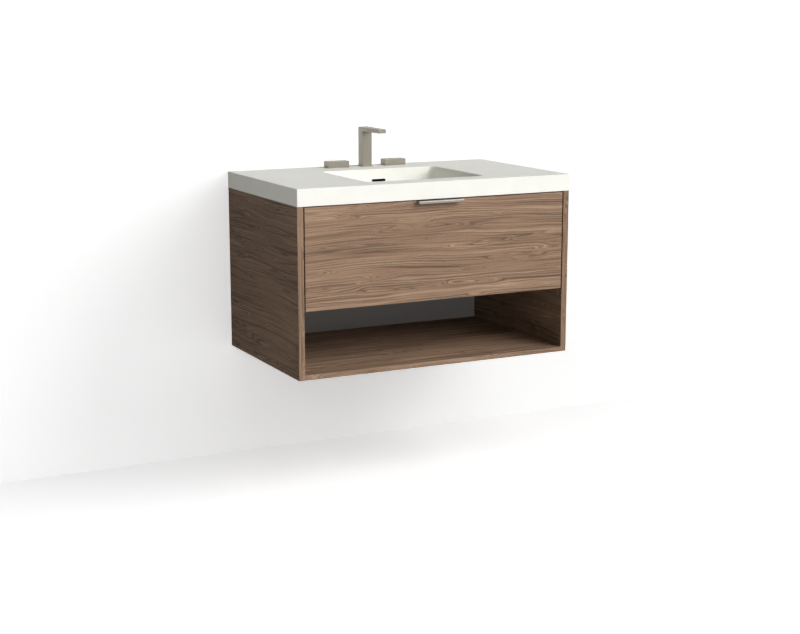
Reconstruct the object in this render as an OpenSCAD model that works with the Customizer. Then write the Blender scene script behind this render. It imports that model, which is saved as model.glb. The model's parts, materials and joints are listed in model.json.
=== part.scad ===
// Floating vanity: an open cabinet that hangs on the wall, with one deep drawer above an open
// shelf, and a thick counter with a moulded basin and a three-piece tap.
// X runs along the wall, the wall is the plane Y = 0, the front faces -Y and Z points up.
// The origin lies on the wall, midway between the two upper wall screws.

/* [Counter] */
// Width of the counter
counter_w = 914.4; // [760:0.1:1200]
// Depth of the counter from the wall
counter_d = 555; // [460:0.5:670]
// Height of the counter's edge
counter_t = 50.8; // [38:0.1:70]
// Thickness of the moulded sheet behind that edge
sheet_t = 12.7; // [10:0.1:20]
// Width of the skirt under the sheet at the front and the sides
skirt_w = 30; // [20:1:40]
// Width of the skirt under the sheet at the wall
back_skirt_w = 20; // [12:1:24]
// How far the counter stands out past each side panel
side_lap = 1; // [0:0.5:10]
// How far the counter stands out past the cabinet's front
front_lap = 3.5; // [0:0.5:20]

/* [Basin] */
// Width of the basin at its rim
basin_w = 396; // [300:1:460]
// Counter left in front of the basin
front_strip = 77; // [60:1:100]
// Counter left between the basin and the wall
back_strip = 144; // [130:1:170]
// Depth of the basin where its floor meets its walls
basin_depth = 105; // [80:1:126]
// Radius of the basin's corners and of its floor's edge
basin_r = 20; // [12:1:28]
// How far the floor falls towards the drain
floor_fall = 7; // [4:0.5:10]
// Thickness of the basin's walls
basin_wall = 12; // [9:0.5:16]
// Thickness of the basin's floor at the drain
basin_floor = 15; // [12:0.5:20]
// Length of the overflow slot
overflow_l = 49; // [36:1:50]
// Height of the overflow slot
overflow_h = 8.2; // [5:0.1:9]
// Depth of the overflow slot's centre line below the counter's top
overflow_drop = 36.5; // [30:0.5:42]

/* [Cabinet] */
// Height of the side panels
cabinet_h = 508; // [420:1:620]
// Thickness of the side panels
side_t = 19; // [16:0.5:25]
// Thickness of the open shelf at the bottom
shelf_t = 15; // [12:0.5:22]
// Clear height between the open shelf and the drawer front
shelf_open_h = 188; // [140:1:220]
// Thickness of the deck under the drawer
deck_t = 15; // [12:0.5:20]
// Thickness of the wall rails and the front stretcher
rail_t = 18; // [15:0.5:19]
// Height of the upper wall rail
upper_rail_h = 100; // [80:1:120]
// Height of the lower wall rail
lower_rail_h = 80; // [50:1:90]
// Spacing of the wall screws, which is the pitch of the wall's studs
stud_pitch = 406.4; // [300:0.1:600]
// Radius of the holes for the wall screws
wall_hole_r = 3.5; // [2.5:0.1:5]
// Thickness of the veneer bands on the front edges
band_t = 1; // [0.5:0.1:2]

/* [Drawer] */
// Thickness of the drawer front
front_t = 18; // [15:0.5:22]
// Gap between the drawer front and each side panel
front_side_gap = 4; // [2:0.5:6]
// Gap between the drawer front and the counter
front_top_gap = 3.5; // [3:0.5:6]
// Thickness of the drawer box's walls
box_t = 15; // [12:0.5:18]
// Thickness of the drawer's bottom
bottom_t = 9; // [6:0.5:12]
// Space behind the drawer for the supply pipes
service_gap = 76; // [60:1:100]
// Width of the notch that clears the drain and its trap
notch_w = 200; // [140:1:260]
// Room in front of the drain for the trap
notch_reach = 80; // [60:1:90]
// Length of the pull
pull_l = 150; // [100:1:300]
// How far the pull stands out from the drawer front
pull_out = 20; // [14:1:30]
// Height of the pull's lip
pull_lip_h = 8; // [6:0.5:12]
// Thickness of the pull's metal
pull_t = 2; // [1.5:0.1:3]

/* [Slides] */
// Height of the slides
slide_h = 45.7; // [38:0.1:50]
// Space that a slide takes between the panel and the drawer
slide_w = 12.7; // [12.4:0.1:14]
// Thickness of the slides' steel
slide_steel = 1.2; // [1:0.1:1.4]
// Radius of the balls
ball_r = 0.95; // [0.85:0.05:1.1]

/* [Tap] */
// Distance between the axes of the two handles
tap_pitch = 203.2; // [180:0.1:260]
// Distance from the wall to the tap's holes
tap_setback = 44; // [42:0.5:60]
// Width of the spout's column
column_w = 33; // [28:0.5:40]
// Depth of the spout's column
column_d = 33; // [28:0.5:40]
// Height of the spout above the counter
spout_h = 126.5; // [100:0.5:180]
// Reach of the spout from its axis to its tip
spout_reach = 127.5; // [105:0.5:155]
// Width of the spout's arm at its tip
arm_w = 26; // [22:0.5:33]
// Thickness of the spout's arm
arm_t = 12.5; // [10:0.5:16]
// Length of a handle
handle_l = 75; // [60:1:80]
// Width of a handle
handle_w = 34.5; // [30:0.5:44]
// Height of a handle
handle_h = 17.5; // [15:0.5:24]
// Radius of a valve's body
valve_r = 13; // [12:0.5:14]
// Radius of a valve's stem
stem_r = 4; // [3:0.1:5]
// Radius of the spout's threaded shank
shank_r = 11; // [9:0.5:12]

/* [Drain] */
// Outer radius of the drain's body
drain_r = 21; // [19:0.5:22]
// Outer radius of the tailpiece, a standard 1 1/4 inch tube
tail_r = 15.875; // [15:0.005:16]
// Radius of the stopper's stem
stopper_stem_r = 3; // [2.5:0.1:4]

/* [Hidden] */

$fn = 48;

// Clearances: a glued or threaded seat, a running fit, and a part that only has to pass
seat_fit = 0.05;
run_fit = 0.05;
pass_gap = 0.4;
// How far a cut runs past the face that it opens, and past one that it only just meets
cut_over = 1;
rim_over = 0.01;

walnut = "#8a6c57";
birch = "#d9c4a0";
solid_surface = "#f2f1ee";
nickel = "#9c948a";
steel = "#b9bcc0";
brass = "#b5a05f";
rubber = "#2b2b2b";
black_plastic = "#313233";

// Cabinet
cabinet_w = counter_w - 2 * side_lap;
cabinet_d = counter_d - front_lap;
inner_w = cabinet_w - 2 * side_t;
z_cab_top = upper_rail_h / 2;
z_top = z_cab_top + counter_t;
z_cab_bottom = z_cab_top - cabinet_h;
z_shelf_top = z_cab_bottom + shelf_t;
z_front_bottom = z_shelf_top + shelf_open_h;
z_front_top = z_cab_top - front_top_gap;
deck_lift = 3;
z_deck_bottom = z_front_bottom + deck_lift;
z_deck_top = z_deck_bottom + deck_t;
front_back_gap = 2;
y_front_face = -cabinet_d;
y_front_back = y_front_face + front_t;
y_deck_front = y_front_back + front_back_gap;

// Basin, placed by its back and front rims
y_rim_back = -back_strip;
y_rim_front = -(counter_d - front_strip);
basin_d = y_rim_back - y_rim_front;
y_basin = (y_rim_back + y_rim_front) / 2;
z_floor = z_top - basin_depth;
z_drain_seat = z_floor - floor_fall;
z_basin_bottom = z_drain_seat - basin_floor;

// Drain, with its flange let into the basin's floor
flange_r = drain_r + 11;
flange_t = 2.5;
drain_wall = 2.5;
drain_hole_r = drain_r + 1;
z_flange_bottom = z_drain_seat - flange_t;
drain_body_l = 64;
z_drain_bottom = z_flange_bottom - drain_body_l;

// Overflow duct, a cover glued to the back of the bowl and under its floor, as far as the drain
duct_wall = 2;
duct_depth = 18;
duct_low_h = 14;
duct_top_drop = 24;
duct_w = max(overflow_l + 10, 2 * (drain_r + 7));
z_duct_bottom = z_basin_bottom - duct_low_h;
y_bowl_back = y_rim_back + basin_wall;

// Drain seals and nut under the duct
gasket_t = 5;
gasket_r = drain_r + 7;
nut_h = 10;
nut_r = drain_r + 11;
tail_wall = 1.2;
tail_collar_l = 10;
tail_free_l = 57;
stopper_r = flange_r - 3;
stopper_t = 5;
stopper_gap = 0.4;
guide_h = 6;
stopper_travel = 8;
guide_drop = 21;

// Front stretcher, between the basin and the drawer front
stretcher_clear = 5.5;
y_stretcher_back = y_rim_front - basin_wall - stretcher_clear;
stretcher_w = y_stretcher_back - y_deck_front;
y_stretcher = (y_stretcher_back + y_deck_front) / 2;
z_stretcher_bottom = z_cab_top - rail_t;

// Dowels across each panel's joint with the sides
dowel_r = 4;
dowel_in_panel = 20;
dowel_in_side = 12;
dowel_inset = 60;
dowel_spots = concat(
    [for (z = [z_cab_bottom + shelf_t / 2, z_deck_bottom + deck_t / 2])
        for (y = [-dowel_inset, -cabinet_d / 2, -(cabinet_d - dowel_inset)]) [y, z]],
    [for (up = [-1, 1]) [-rail_t / 2, up * upper_rail_h / 4]],
    [for (up = [1, 3]) [-rail_t / 2, z_deck_top + up * lower_rail_h / 4]],
    [for (out = [-1, 1]) [y_stretcher + out * stretcher_w / 4, z_cab_top - rail_t / 2]]
);

// Corner brackets
bracket_leg = 25;
bracket_t = 2.5;
bracket_w = 30;
bracket_screw_r = 1.9;
bracket_screw_l = 14;
bracket_screw_at = 0.6 * bracket_leg;
pan_head_r = 3.5;
pan_head_t = 2;

// Drawer box
box_w = inner_w - 2 * slide_w;
box_under = 8;
box_over = 8.8;
z_box_bottom = z_deck_top + box_under;
z_box_top = z_duct_bottom - box_over;
box_h = z_box_top - z_box_bottom;
y_box_back = -service_gap;
box_l = y_box_back - y_front_back;
groove = 5;
groove_fit = 0.2;
groove_lift = 10;
z_bottom = z_box_bottom + groove_lift;
y_notch = y_basin - notch_reach;
front_screw_x = box_w / 2 - 110;
front_screw_r = 2;
front_screw_l = box_t + 2 * front_t / 3;
front_head_r = 4.5;
front_head_t = 2.2;
pull_screw_x = pull_l / 3;
pull_screw_r = 1.75;
pull_screw_l = front_t - 4;
pull_head_r = 3.5;
pull_leg_h = 18;
pull_fit = 0.2;
bumper_x = front_screw_x;
bumper_r = 5;

// Slides, drawn across from the panel's face towards the drawer
z_slide = z_box_bottom + box_h / 2;
ball_gap = 2 * (ball_r + run_fit);
slide_l = box_l - front_back_gap;
outer_half = slide_h / 2;
middle_half = outer_half - slide_steel - ball_gap;
inner_half = middle_half - slide_steel - ball_gap;
outer_tip = slide_w - 2.3;
middle_web = 2.6;
middle_tip = slide_w - 1.5;
inner_tip = 5.4;
outer_ball_x = 6;
inner_ball_x = 8;
cage_t = 0.6;
cage_lip = 2.5;
cage_margin = 25;
cage_l = slide_l / 2 - cage_margin;
cage_outer_web = (slide_steel + middle_web) / 2 - cage_t / 2;
cage_inner_web = middle_web + slide_steel + pass_gap;
cage_balls = 8;
slide_screw_r = 1.9;
slide_screw_in_side = side_t - 5;
slide_screw_in_drawer = box_t - 3;
slide_screw_back = 25;
slide_screw_pitch = 75;
slide_screw_front = 8;
slide_screw_inset = 40;
slide_screw_head_r = 3.5;
slide_screw_head_t = 0.9;

// Tap
tap_hole_r = valve_r + 1;
plate_t = 2.5;
spout_plate_out = 2.5;
handle_plate_in = 0.5;
handle_lift = plate_t + 0.5;
handle_socket = 11.5;
shank_l = 78;
shank_bore_r = 5;
arm_bore_r = 3.5;
aerator_r = 9;
aerator_t = 4.5;
aerator_inset = 14;
washer_t = 2;
tap_nut_h = 8;
tap_nut_r = 18;
valve_nut_r = 18;
valve_l = 62;
inlet_r = 10.3;
inlet_l = 18;
valve_bore_r = 5;
outlet_drop = 40;
outlet_r = 8;
outlet_l = 24;
shank_seat = 10;
outlet_bore_r = 4;
stem_in_valve = 20;
inlet_bore_top = 30;
tee_r = 15;
tee_h = 25;
tee_port_r = 7;
tee_port_l = 20;
tee_port_rise = 8;
tee_port_drop = shank_l - shank_seat + tee_h - tee_port_rise;
hose_r = 5.5;
hose_bend = (tee_port_drop - outlet_drop) / 2;
hose_straight = (tap_pitch / 2 - outlet_l - tee_port_l - 2 * hose_bend) / 2;
ferrule_r = 7.5;
ferrule_l = 9;
hex_ratio = 1 / cos(30);

// ---------------------------------------------------------------- helpers

// A block between two opposite corners
module span(low, high) {
    translate(low) cube(high - low);
}

// A flat rectangle between two opposite corners
module rect(low, high) {
    translate(low) square(high - low);
}

// Turns a child's +Z towards the front
module toward_front() {
    rotate([90, 0, 0]) children();
}

// Turns a child's +Z towards +X
module toward_right() {
    rotate([0, 90, 0]) children();
}

// Puts a piece drawn for the right on the left (-1) or the right (1)
module on_side(side) {
    if (side < 0) mirror([1, 0, 0]) children();
    else children();
}

module both_sides() {
    on_side(-1) children();
    on_side(1) children();
}

// A tube that hangs down from the origin
module tube_down(outer, inner, length) {
    translate([0, 0, -length]) difference() {
        cylinder(r = outer, h = length);
        translate([0, 0, -cut_over]) cylinder(r = inner, h = length + 2 * cut_over);
    }
}

// A hexagonal nut that hangs down from the origin, sized across its flats
module nut_down(flat_r, bore, height) {
    translate([0, 0, -height]) difference() {
        cylinder(r = flat_r * hex_ratio, h = height, $fn = 6);
        translate([0, 0, -cut_over]) cylinder(r = bore, h = height + 2 * cut_over);
    }
}

// A pan-head screw: the head stands on the origin and the shank points down
module screw(shank_r, length, head_r, head_t) {
    cylinder(r = head_r, h = head_t);
    translate([0, 0, -length]) cylinder(r = shank_r, h = length);
}

// The hole that a screw's shank fills, open at the origin
module screw_hole(shank_r, length) {
    translate([0, 0, -length - seat_fit])
        cylinder(r = shank_r + seat_fit, h = length + seat_fit + cut_over);
}

// ---------------------------------------------------------------- cabinet

module at_dowels() {
    both_sides() for (spot = dowel_spots)
        translate([inner_w / 2, spot[0], spot[1]]) toward_right() children();
}

module dowel(grow) {
    translate([0, 0, -dowel_in_panel - grow])
        cylinder(r = dowel_r + grow, h = dowel_in_panel + dowel_in_side + 2 * grow);
}

// Places a bracket's corner under the stretcher and in front of the upper wall rail, with its
// own X towards the cabinet's middle and its own Y away from the rail
module at_brackets() {
    both_sides() {
        translate([inner_w / 2, y_stretcher, z_stretcher_bottom])
            mirror([1, 0, 0]) mirror([0, 0, 1]) toward_front() children();
        translate([inner_w / 2, -rail_t, 0]) mirror([1, 0, 0]) mirror([0, 1, 0]) children();
    }
}

// Places a screw's head on each leg of a bracket
module at_bracket_screws() {
    at_brackets() {
        translate([bracket_screw_at, bracket_t, 0]) rotate([-90, 0, 0]) children();
        translate([bracket_t, bracket_screw_at, 0]) rotate([0, 90, 0]) children();
    }
}

// Places a screw's head inside each cabinet member of the slides
module at_slide_screws_cabinet() {
    y_first = y_box_back - slide_screw_back;
    y_last = y_box_back - slide_l + slide_screw_front;
    both_sides() for (y = [y_first, y_first - slide_screw_pitch, y_last])
        translate([inner_w / 2 - slide_steel, y, z_slide]) rotate([0, -90, 0]) children();
}

module cabinet_cuts() {
    at_dowels() dowel(seat_fit);
    at_bracket_screws() screw_hole(bracket_screw_r, bracket_screw_l);
    at_slide_screws_cabinet() screw_hole(slide_screw_r, slide_screw_in_side);
}

module side_panel(side) {
    color(walnut) difference() {
        on_side(side) span([inner_w / 2, -(cabinet_d - band_t), z_cab_bottom],
            [cabinet_w / 2, 0, z_cab_top]);
        cabinet_cuts();
    }
}

module shelf_panel() {
    color(walnut) difference() {
        span([-inner_w / 2, -(cabinet_d - band_t), z_cab_bottom], [inner_w / 2, 0, z_shelf_top]);
        at_dowels() dowel(seat_fit);
    }
}

module drawer_deck() {
    color(walnut) difference() {
        span([-inner_w / 2, y_deck_front, z_deck_bottom], [inner_w / 2, 0, z_deck_top]);
        at_dowels() dowel(seat_fit);
    }
}

module wall_screw_holes(z) {
    for (side = [-1, 1])
        translate([side * stud_pitch / 2, cut_over, z]) toward_front()
            cylinder(r = wall_hole_r, h = rail_t + 2 * cut_over);
}

module upper_wall_rail() {
    color(birch) difference() {
        span([-inner_w / 2, -rail_t, -upper_rail_h / 2], [inner_w / 2, 0, upper_rail_h / 2]);
        wall_screw_holes(0);
        cabinet_cuts();
    }
}

module lower_wall_rail() {
    color(birch) difference() {
        span([-inner_w / 2, -rail_t, z_deck_top], [inner_w / 2, 0, z_deck_top + lower_rail_h]);
        wall_screw_holes(z_deck_top + lower_rail_h / 2);
        at_dowels() dowel(seat_fit);
    }
}

module front_stretcher() {
    color(birch) difference() {
        span([-inner_w / 2, y_deck_front, z_stretcher_bottom],
            [inner_w / 2, y_stretcher_back, z_cab_top]);
        cabinet_cuts();
    }
}

// Veneer bands on the front edges of the two sides and the shelf
module edge_bands() {
    color(walnut) {
        both_sides() span([inner_w / 2, -cabinet_d, z_cab_bottom],
            [cabinet_w / 2, -(cabinet_d - band_t), z_cab_top]);
        span([-inner_w / 2, -cabinet_d, z_cab_bottom],
            [inner_w / 2, -(cabinet_d - band_t), z_shelf_top]);
    }
}

module panel_dowels() {
    color(birch) at_dowels() dowel(0);
}

module corner_brackets() {
    color(steel) difference() {
        at_brackets() translate([0, 0, -bracket_w / 2]) linear_extrude(bracket_w)
            polygon([[0, 0], [bracket_leg, 0], [bracket_leg, bracket_t],
                [bracket_t, bracket_t], [bracket_t, bracket_leg], [0, bracket_leg]]);
        at_bracket_screws() screw_hole(bracket_screw_r, bracket_screw_l);
    }
}

module bracket_screws() {
    color(steel) at_bracket_screws() screw(bracket_screw_r, bracket_screw_l, pan_head_r, pan_head_t);
}

// Soft pads on the deck's front edge that the drawer front closes against
module drawer_bumpers() {
    color(rubber) for (side = [-1, 1])
        translate([side * bumper_x, y_deck_front, z_deck_bottom + deck_t / 2]) toward_front()
            cylinder(r = bumper_r, h = front_back_gap - pass_gap);
}

// ---------------------------------------------------------------- counter and basin

// A block that hangs down from the origin, with round vertical corners and a round lower edge
module bowl_block(w, d, depth, r) {
    x = w / 2 - r;
    y = d / 2 - r;
    straight = depth - r;
    translate([-x, -y - r, -straight]) cube([2 * x, 2 * (y + r), straight]);
    translate([-x - r, -y, -straight]) cube([2 * (x + r), 2 * y, straight]);
    translate([-x, -y, -depth]) cube([2 * x, 2 * y, depth]);
    for (sx = [-1, 1]) for (sy = [-1, 1]) translate([sx * x, sy * y, -straight]) {
        cylinder(r = r, h = straight);
        sphere(r = r);
    }
    for (sy = [-1, 1]) translate([-x, sy * y, -straight]) toward_right()
        cylinder(r = r, h = 2 * x);
    for (sx = [-1, 1]) translate([sx * x, y, -straight]) toward_front()
        cylinder(r = r, h = 2 * y);
}

// The bowl's outside, from within the counter's sheet down
module bowl_outside(grow) {
    z = z_top - sheet_t / 2;
    thick = basin_wall + grow;
    translate([0, y_basin, z])
        bowl_block(basin_w + 2 * thick, basin_d + 2 * thick, z - z_basin_bottom + grow,
            basin_r + thick);
}

// The overflow slot, cut through the basin's back wall
module overflow_slot() {
    half = (overflow_l - overflow_h) / 2;
    translate([0, y_bowl_back + cut_over, z_top - overflow_drop]) toward_front() {
        for (side = [-1, 1]) translate([side * half, 0, 0])
            cylinder(r = overflow_h / 2, h = basin_wall + 2 * cut_over);
        translate([-half, -overflow_h / 2, 0])
            cube([2 * half, overflow_h, basin_wall + 2 * cut_over]);
    }
}

module countertop_basin() {
    under = z_cab_top - cut_over;
    color(solid_surface) difference() {
        union() {
            difference() {
                span([-counter_w / 2, -counter_d, z_cab_top], [counter_w / 2, 0, z_top]);
                span([-counter_w / 2 + skirt_w, -counter_d + skirt_w, under],
                    [counter_w / 2 - skirt_w, -back_skirt_w, z_top - sheet_t]);
            }
            bowl_outside(0);
        }
        translate([0, y_basin, z_top + cut_over])
            bowl_block(basin_w, basin_d, basin_depth + cut_over, basin_r);
        translate([0, y_basin, z_drain_seat]) {
            cylinder(r1 = flange_r + 2, r2 = basin_d / 2 - basin_r - 2, h = floor_fall + rim_over);
            translate([0, 0, -flange_t])
                cylinder(r = flange_r + seat_fit, h = flange_t + cut_over);
            translate([0, 0, -basin_floor - cut_over])
                cylinder(r = drain_hole_r, h = basin_floor + 2 * cut_over);
        }
        overflow_slot();
        for (x = [-tap_pitch / 2, 0, tap_pitch / 2])
            translate([x, -tap_setback, z_top - sheet_t - cut_over])
                cylinder(r = tap_hole_r, h = sheet_t + 2 * cut_over);
    }
}

// The overflow duct's block, with a round end about the drain, pulled in on its closed sides
module duct_block(inset) {
    half = duct_w / 2 - inset;
    low = z_duct_bottom + inset;
    high = z_top - duct_top_drop - inset;
    span([-half, y_basin, low], [half, y_bowl_back + duct_depth - inset, high]);
    translate([0, y_basin, low]) cylinder(r = half, h = high - low);
}

module overflow_duct() {
    color(black_plastic) difference() {
        duct_block(0);
        duct_block(duct_wall);
        bowl_outside(seat_fit);
        translate([0, y_basin, z_duct_bottom - cut_over])
            cylinder(r = drain_r + seat_fit, h = duct_wall + 2 * cut_over);
    }
}

// ---------------------------------------------------------------- drain

module drain_body() {
    window_r = 4;
    z_window = z_duct_bottom + duct_low_h / 2;
    color(nickel) difference() {
        union() {
            translate([0, y_basin, z_drain_seat])
                tube_down(flange_r, drain_r - drain_wall, flange_t);
            translate([0, y_basin, z_flange_bottom + seat_fit])
                tube_down(drain_r, drain_r - drain_wall, drain_body_l + seat_fit);
        }
        translate([0, y_basin, z_window]) {
            toward_right() translate([0, 0, -drain_r - cut_over])
                cylinder(r = window_r, h = 2 * (drain_r + cut_over));
            toward_front() translate([0, 0, -drain_r - cut_over])
                cylinder(r = window_r, h = 2 * (drain_r + cut_over));
        }
    }
}

// Three spokes in the drain that guide the stopper's stem
module drain_guide() {
    ring_r = drain_r - drain_wall - seat_fit;
    boss_r = stopper_stem_r + 3;
    spoke_t = 2.5;
    color(nickel) translate([0, y_basin, z_drain_seat - guide_drop - guide_h]) difference() {
        union() {
            difference() {
                cylinder(r = ring_r, h = guide_h);
                translate([0, 0, -cut_over])
                    cylinder(r = ring_r - 2, h = guide_h + 2 * cut_over);
            }
            cylinder(r = boss_r, h = guide_h);
            for (turn = [0, 120, 240]) rotate([0, 0, turn])
                translate([0, -spoke_t / 2, 0]) cube([ring_r - 1, spoke_t, guide_h]);
        }
        translate([0, 0, -cut_over])
            cylinder(r = stopper_stem_r + run_fit, h = guide_h + 2 * cut_over);
    }
}

module drain_gasket() {
    color(rubber) translate([0, y_basin, z_duct_bottom])
        tube_down(gasket_r, drain_r + seat_fit, gasket_t);
}

module drain_nut() {
    color(nickel) translate([0, y_basin, z_duct_bottom - gasket_t])
        nut_down(nut_r, drain_r + seat_fit, nut_h);
}

module drain_tailpiece() {
    color(nickel) translate([0, y_basin, z_drain_bottom + tail_collar_l]) {
        tube_down(drain_r - drain_wall - seat_fit, tail_r - tail_wall, tail_collar_l);
        translate([0, 0, -tail_collar_l]) tube_down(tail_r, tail_r - tail_wall, tail_free_l);
    }
}

// A push-type stopper that covers the flange and lifts on its stem
module drain_stopper() {
    stem_l = guide_drop + guide_h + stopper_travel + 2;
    color(nickel) translate([0, y_basin, z_drain_seat + stopper_gap]) {
        cylinder(r1 = stopper_r, r2 = stopper_r - 2, h = stopper_t);
        translate([0, 0, -stem_l]) cylinder(r = stopper_stem_r, h = stem_l + stopper_t / 2);
    }
}

// ---------------------------------------------------------------- tap

module at_tap(x) {
    translate([x, -tap_setback, z_top]) children();
}

module spout_body() {
    z_arm = spout_h - arm_t;
    z_bore = spout_h - arm_t / 2;
    y_outlet = -(spout_reach - aerator_inset);
    color(nickel) at_tap(0) difference() {
        union() {
            span([-column_w / 2, -column_d / 2, plate_t], [column_w / 2, column_d / 2, spout_h]);
            translate([0, 0, z_arm]) linear_extrude(arm_t)
                polygon([[-column_w / 2, -column_d / 2], [-arm_w / 2, -spout_reach],
                    [arm_w / 2, -spout_reach], [column_w / 2, -column_d / 2]]);
        }
        translate([0, 0, plate_t - cut_over])
            cylinder(r = shank_r + seat_fit, h = shank_seat + cut_over + seat_fit);
        translate([0, 0, plate_t]) cylinder(r = shank_bore_r, h = z_bore - plate_t);
        translate([0, 0, z_bore]) toward_front() cylinder(r = arm_bore_r, h = -y_outlet);
        translate([0, y_outlet, z_arm - cut_over])
            cylinder(r = aerator_r + seat_fit, h = aerator_t + cut_over + seat_fit);
        translate([0, y_outlet, z_arm]) cylinder(r = arm_bore_r, h = arm_t / 2);
    }
}

// The outlet's insert, with a ring of holes round the middle one
module spout_aerator() {
    jet_r = 1.4;
    jet_ring = 5;
    color(steel) at_tap(0)
        translate([0, -(spout_reach - aerator_inset), spout_h - arm_t]) difference() {
            cylinder(r = aerator_r, h = aerator_t);
            for (at = concat([[0, 0]], [for (turn = [0:60:300]) jet_ring * [cos(turn), sin(turn)]]))
                translate([at[0], at[1], -cut_over])
                    cylinder(r = jet_r, h = aerator_t + 2 * cut_over);
        }
}

module spout_flange() {
    x = column_w / 2 + spout_plate_out;
    y = column_d / 2 + spout_plate_out;
    color(nickel) at_tap(0) difference() {
        span([-x, -y, 0], [x, y, plate_t]);
        translate([0, 0, -cut_over])
            cylinder(r = shank_r + seat_fit, h = plate_t + 2 * cut_over);
    }
}

module spout_shank() {
    top = plate_t + shank_seat;
    color(brass) at_tap(0) translate([0, 0, top])
        tube_down(shank_r, shank_bore_r, top + shank_l);
}

module spout_washer() {
    color(rubber) at_tap(0) translate([0, 0, -sheet_t])
        tube_down(tap_nut_r + 1, shank_r + seat_fit, washer_t);
}

module spout_nut() {
    color(brass) at_tap(0) translate([0, 0, -sheet_t - washer_t])
        nut_down(tap_nut_r, shank_r + seat_fit, tap_nut_h);
}

// Joins the two hoses to the spout's shank
module mixing_tee() {
    color(brass) at_tap(0) translate([0, 0, -tee_port_drop]) difference() {
        union() {
            translate([0, 0, -tee_port_rise]) cylinder(r = tee_r, h = tee_h);
            translate([-tee_port_l, 0, 0]) toward_right()
                cylinder(r = tee_port_r, h = 2 * tee_port_l);
        }
        translate([0, 0, tee_port_drop - shank_l - seat_fit])
            cylinder(r = shank_r + seat_fit, h = shank_seat + seat_fit + cut_over);
        cylinder(r = shank_bore_r, h = tee_port_drop - shank_l);
        translate([-tee_port_l - cut_over, 0, 0]) toward_right()
            cylinder(r = outlet_bore_r, h = 2 * (tee_port_l + cut_over));
    }
}

module handle(side) {
    color(nickel) at_tap(side * tap_pitch / 2) difference() {
        span([-handle_l / 2, -handle_w / 2, handle_lift],
            [handle_l / 2, handle_w / 2, handle_lift + handle_h]);
        translate([0, 0, handle_lift - cut_over])
            cylinder(r = stem_r + seat_fit, h = handle_socket + cut_over + seat_fit);
    }
}

module stem(side) {
    length = handle_lift + handle_socket + stem_in_valve;
    color(brass) at_tap(side * tap_pitch / 2)
        translate([0, 0, handle_lift + handle_socket - length]) cylinder(r = stem_r, h = length);
}

// Plates that lie just inside the handles' outline
module handle_escutcheons() {
    x = handle_l / 2 - handle_plate_in;
    y = handle_w / 2 - handle_plate_in;
    color(nickel) for (side = [-1, 1]) at_tap(side * tap_pitch / 2) difference() {
        span([-x, -y, 0], [x, y, plate_t]);
        translate([0, 0, -cut_over])
            cylinder(r = valve_r + seat_fit, h = plate_t + 2 * cut_over);
    }
}

// A valve's body: the stem turns in its top, the supply comes in below and the outlet faces
// the spout
module valve(side) {
    body_top = plate_t - 0.2;
    stem_bore = stem_in_valve + 1;
    color(brass) at_tap(side * tap_pitch / 2) difference() {
        union() {
            translate([0, 0, -valve_l]) cylinder(r = valve_r, h = valve_l + body_top);
            translate([0, 0, -valve_l - inlet_l]) cylinder(r = inlet_r, h = inlet_l + 1);
            translate([0, 0, -outlet_drop]) rotate([0, -90 * side, 0])
                cylinder(r = outlet_r, h = outlet_l);
        }
        translate([0, 0, -stem_bore])
            cylinder(r = stem_r + run_fit, h = stem_bore + body_top + cut_over);
        translate([0, 0, -valve_l - inlet_l - cut_over])
            cylinder(r = valve_bore_r, h = inlet_l + valve_l - inlet_bore_top + cut_over);
        translate([0, 0, -outlet_drop]) rotate([0, -90 * side, 0])
            cylinder(r = outlet_bore_r, h = outlet_l + cut_over);
    }
}

module valve_nuts() {
    color(brass) for (side = [-1, 1]) at_tap(side * tap_pitch / 2) translate([0, 0, -sheet_t])
        nut_down(valve_nut_r, valve_r + seat_fit, tap_nut_h);
}

// A braided hose in an S from a valve's outlet down to the tee, with a crimped end on each
module hose(side) {
    x_start = tap_pitch / 2 - outlet_l;
    x_bend = x_start - hose_straight;
    color(steel) on_side(side) at_tap(0) translate([0, 0, -outlet_drop]) {
        translate([x_start, 0, 0]) rotate([0, -90, 0]) {
            cylinder(r = hose_r, h = hose_straight);
            cylinder(r = ferrule_r, h = ferrule_l);
        }
        translate([x_bend, 0, -hose_bend]) toward_front() rotate([0, 0, 90])
            rotate_extrude(angle = 90) translate([hose_bend, 0]) circle(r = hose_r);
        translate([x_bend - 2 * hose_bend, 0, -hose_bend]) toward_front() rotate([0, 0, -90])
            rotate_extrude(angle = 90) translate([hose_bend, 0]) circle(r = hose_r);
        translate([tee_port_l, 0, -2 * hose_bend]) toward_right() {
            cylinder(r = hose_r, h = hose_straight);
            cylinder(r = ferrule_r, h = ferrule_l);
        }
    }
}

// ---------------------------------------------------------------- drawer

module at_front_screws() {
    for (side = [-1, 1]) for (up = [-1, 1])
        translate([side * front_screw_x, y_front_back + box_t, z_slide + up * box_h / 4])
            rotate([-90, 0, 0]) children();
}

module at_pull_screws() {
    for (side = [-1, 1])
        translate([side * pull_screw_x, y_front_back, z_front_top - pull_leg_h / 2])
            rotate([-90, 0, 0]) children();
}

// The pull's outline from its back leg over the drawer front's edge to its lip
module pull_section() {
    z_leg = z_front_top - pull_leg_h;
    y_lip = y_front_face - pull_out;
    rect([y_lip, z_front_top - pull_t], [y_front_back, z_front_top]);
    rect([y_front_back - pull_t, z_leg], [y_front_back, z_front_top]);
    rect([y_lip, z_front_top - pull_lip_h], [y_lip + pull_t, z_front_top]);
}

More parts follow.
